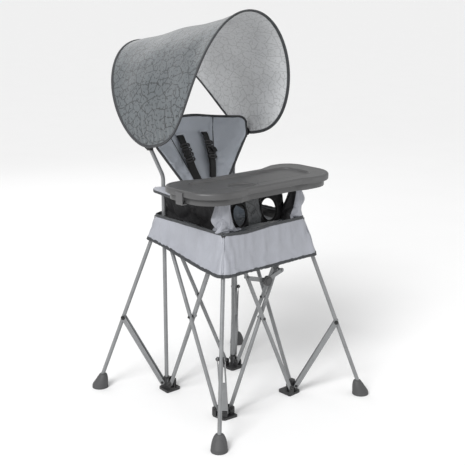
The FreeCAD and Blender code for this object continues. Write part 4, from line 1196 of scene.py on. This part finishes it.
def foot(corner, sx, sy):
    """Moulded foot: an oval sole, a waist up to the leg, and a raised tongue on its toe."""
    name = "foot_" + corner
    # Height, half length, half width, and shift of the ring's centre from the leg's line.
    out = np.array([sx, sy]) / math.sqrt(2)
    side = np.array([-out[1], out[0]])
    profile = [(0.0, 26.2, 25.2, -7.0), (1.4, 27.0, 26.0, -7.0), (6.0, 27.0, 26.0, -5.5),
               (8.0, 26.2, 25.4, -5.0), (14.0, 25.2, 25.0, -4.2), (24.0, 21.8, 23.4, -4.0),
               (32.0, 18.8, 21.2, -4.0), (39.0, 16.2, 18.6, -3.0), (45.0, 13.8, 15.2, -2.0),
               (48.6, 11.6, 12.2, -1.0), (50.0, 9.6, 9.8, 0.0)]
    heights = np.concatenate([np.linspace(a[0], b[0], 5, endpoint=False)
                              for a, b in zip(profile, profile[1:])] + [[50.0]])
    table = np.array(profile)
    count = 72
    angle = np.arange(count) / count * TURN
    rings = []
    for z in heights:
        long, wide, shift = (np.interp(z, table[:, 0], table[:, k]) for k in (1, 2, 3))
        centre = out * (shift + math.sqrt(2) * (FOOT_REACH - LEG_SPREAD * z))
        arch = 17 * math.sqrt(max(0.0, 1 - ((z - 10) / 30) ** 2)) if z > 10 else 17.0
        offset = np.abs(np.sin(angle)) * wide
        tongue = (np.cos(angle) > 0) * smooth(arch - offset, -1.2, 1.2) * smooth(z, 7.5, 9.5)
        groove = (np.cos(angle) > 0) * np.exp(-((arch - offset + 1.8) / 1.1) ** 2)
        grow = 1.5 * tongue - 0.9 * groove * smooth(z, 7.5, 9.5) * (1 - smooth(z, 36, 40))
        ring = (centre[None] + out * (np.cos(angle) * (long + grow))[:, None]
                + side * (np.sin(angle) * (wide + grow * 0.4))[:, None])
        rings.append(np.concatenate([ring, np.full((count, 1), z)], 1))
    leg = out * math.sqrt(2) * (FOOT_REACH - LEG_SPREAD * 50)
    for radius, z in ((8.6, 50.6), (7.2, 49.6), (7.0, 44.0)):
        ring = leg[None] + out * (np.cos(angle) * radius)[:, None] + side * (
            np.sin(angle) * radius)[:, None]
        rings.append(np.concatenate([ring, np.full((count, 1), z)], 1))
    grid = np.array(rings)
    faces, _ = lattice(len(rings), count, False, True)
    faces.append(list(range(count))[::-1])
    piece = build(name + "_boot", grid.reshape(-1, 3), faces, ["foot_grey"], "leg_" + corner)
    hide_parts(name)


def dress_frame():
    """Finishes and softened edges for the parts that come straight from the frame."""
    slots = {row["node"]: row["material_slot"] for row in frame["record"]["subparts"]}
    edged = ("hub_", "bracket_", "strut_", "lock_", "canopy_clip", "tray_carrier", "tray_latch",
             "buckle_button", "front_post")
    for name, node in frame["nodes"].items():
        node.data.materials.clear()
        node.data.materials.append(FINISHES[slots[name]])
        if name.startswith(edged) and not name.startswith("hub_bolts"):
            weld = node.modifiers.new("Weld", "WELD")
            weld.merge_threshold = 0.00002
            bevel = node.modifiers.new("Edges", "BEVEL")
            bevel.width = 0.0007
            bevel.segments = 2
            bevel.limit_method = "ANGLE"
            bevel.angle_limit = math.radians(38)
            bevel.harden_normals = True


# ---------------- studio

def aim(obj, target):
    """Turns a lamp towards a point."""
    obj.rotation_mode = "QUATERNION"
    obj.rotation_quaternion = (Vector(target) - obj.location).to_track_quat("-Z", "Y")


def studio():
    """Pale floor, soft sky and sun, and large panels for highlights."""
    bpy.ops.mesh.primitive_plane_add(size=400)
    floor = bpy.context.object
    floor.name = "floor"
    finish = Finish("floor_paper", 0.9, specular=0.1)
    grain = finish.noise(finish.object, 3.0)
    finish.colour(finish.mix(grain, (0.90, 0.90, 0.90), (0.92, 0.92, 0.92)))
    floor.data.materials.append(finish.material)
    world = bpy.data.worlds.new("sky")
    scene.world = world
    world.use_nodes = True
    world.node_tree.nodes["Background"].inputs["Color"].default_value = (1, 1, 1, 1)
    world.node_tree.nodes["Background"].inputs["Strength"].default_value = 0.60
    sun = bpy.data.objects.new("sun", bpy.data.lights.new("sun", "SUN"))
    sun.data.energy = 1.7
    sun.data.angle = math.radians(24)
    sun.location = (-3.4, -1.5, 3.9)
    aim(sun, (0, 0, 0.4))
    scene.collection.objects.link(sun)
    panels = {
        "key": ((-3.0, -1.2, 2.4), 1.3, 40),
        "fill": ((2.6, -2.8, 1.2), 1.6, 12),
        "back": ((0.6, 3.0, 2.4), 2.2, 16),
    }
    for name, (where, size, power) in panels.items():
        lamp = bpy.data.objects.new(name, bpy.data.lights.new(name, "AREA"))
        lamp.data.shape = "SQUARE"
        lamp.data.size = size
        lamp.data.energy = power
        lamp.location = where
        aim(lamp, (0, 0, 0.7))
        scene.collection.objects.link(lamp)
    scene.view_settings.view_transform = "Standard"


def camera():
    """The photograph's viewpoint: child's front right, a little above the tray."""
    azimuth, elevation, away = math.radians(-41.3), math.radians(14.7), 3.181
    back = Vector((math.sin(azimuth) * math.cos(elevation),
                   -math.cos(azimuth) * math.cos(elevation), math.sin(elevation)))
    target = Vector(place((5.7, -5.1, 551.9)).tolist())
    eye = bpy.data.objects.new("camera", bpy.data.cameras.new("camera"))
    eye.data.lens = 75.9
    eye.data.sensor_width = 36
    eye.data.shift_x = 0.0023
    eye.location = target + back * away
    eye.rotation_mode = "QUATERNION"
    eye.rotation_quaternion = (-back).to_track_quat("-Z", "Y")
    scene.collection.objects.link(eye)
    scene.camera = eye


camera()
skirt()
deck()
front_panel()
column("right", -1, -0.35)
column("left", 1, -2.4)
side_panel("right", -1, -108, 0)
side_panel("left", 1, 24, 40)
armrest("right", -1)
armrest("left", 1)
backrest()
lower_back()
harness()
canopy()
tray()
for corner, (sx, sy) in {"rear_right": (-1, 1), "rear_left": (1, 1), "front_right": (-1, -1),
                         "front_left": (1, -1)}.items():
    foot(corner, sx, sy)
dress_frame()
for label in ("front", "rear"):
    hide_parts("seat_bucket")
studio()
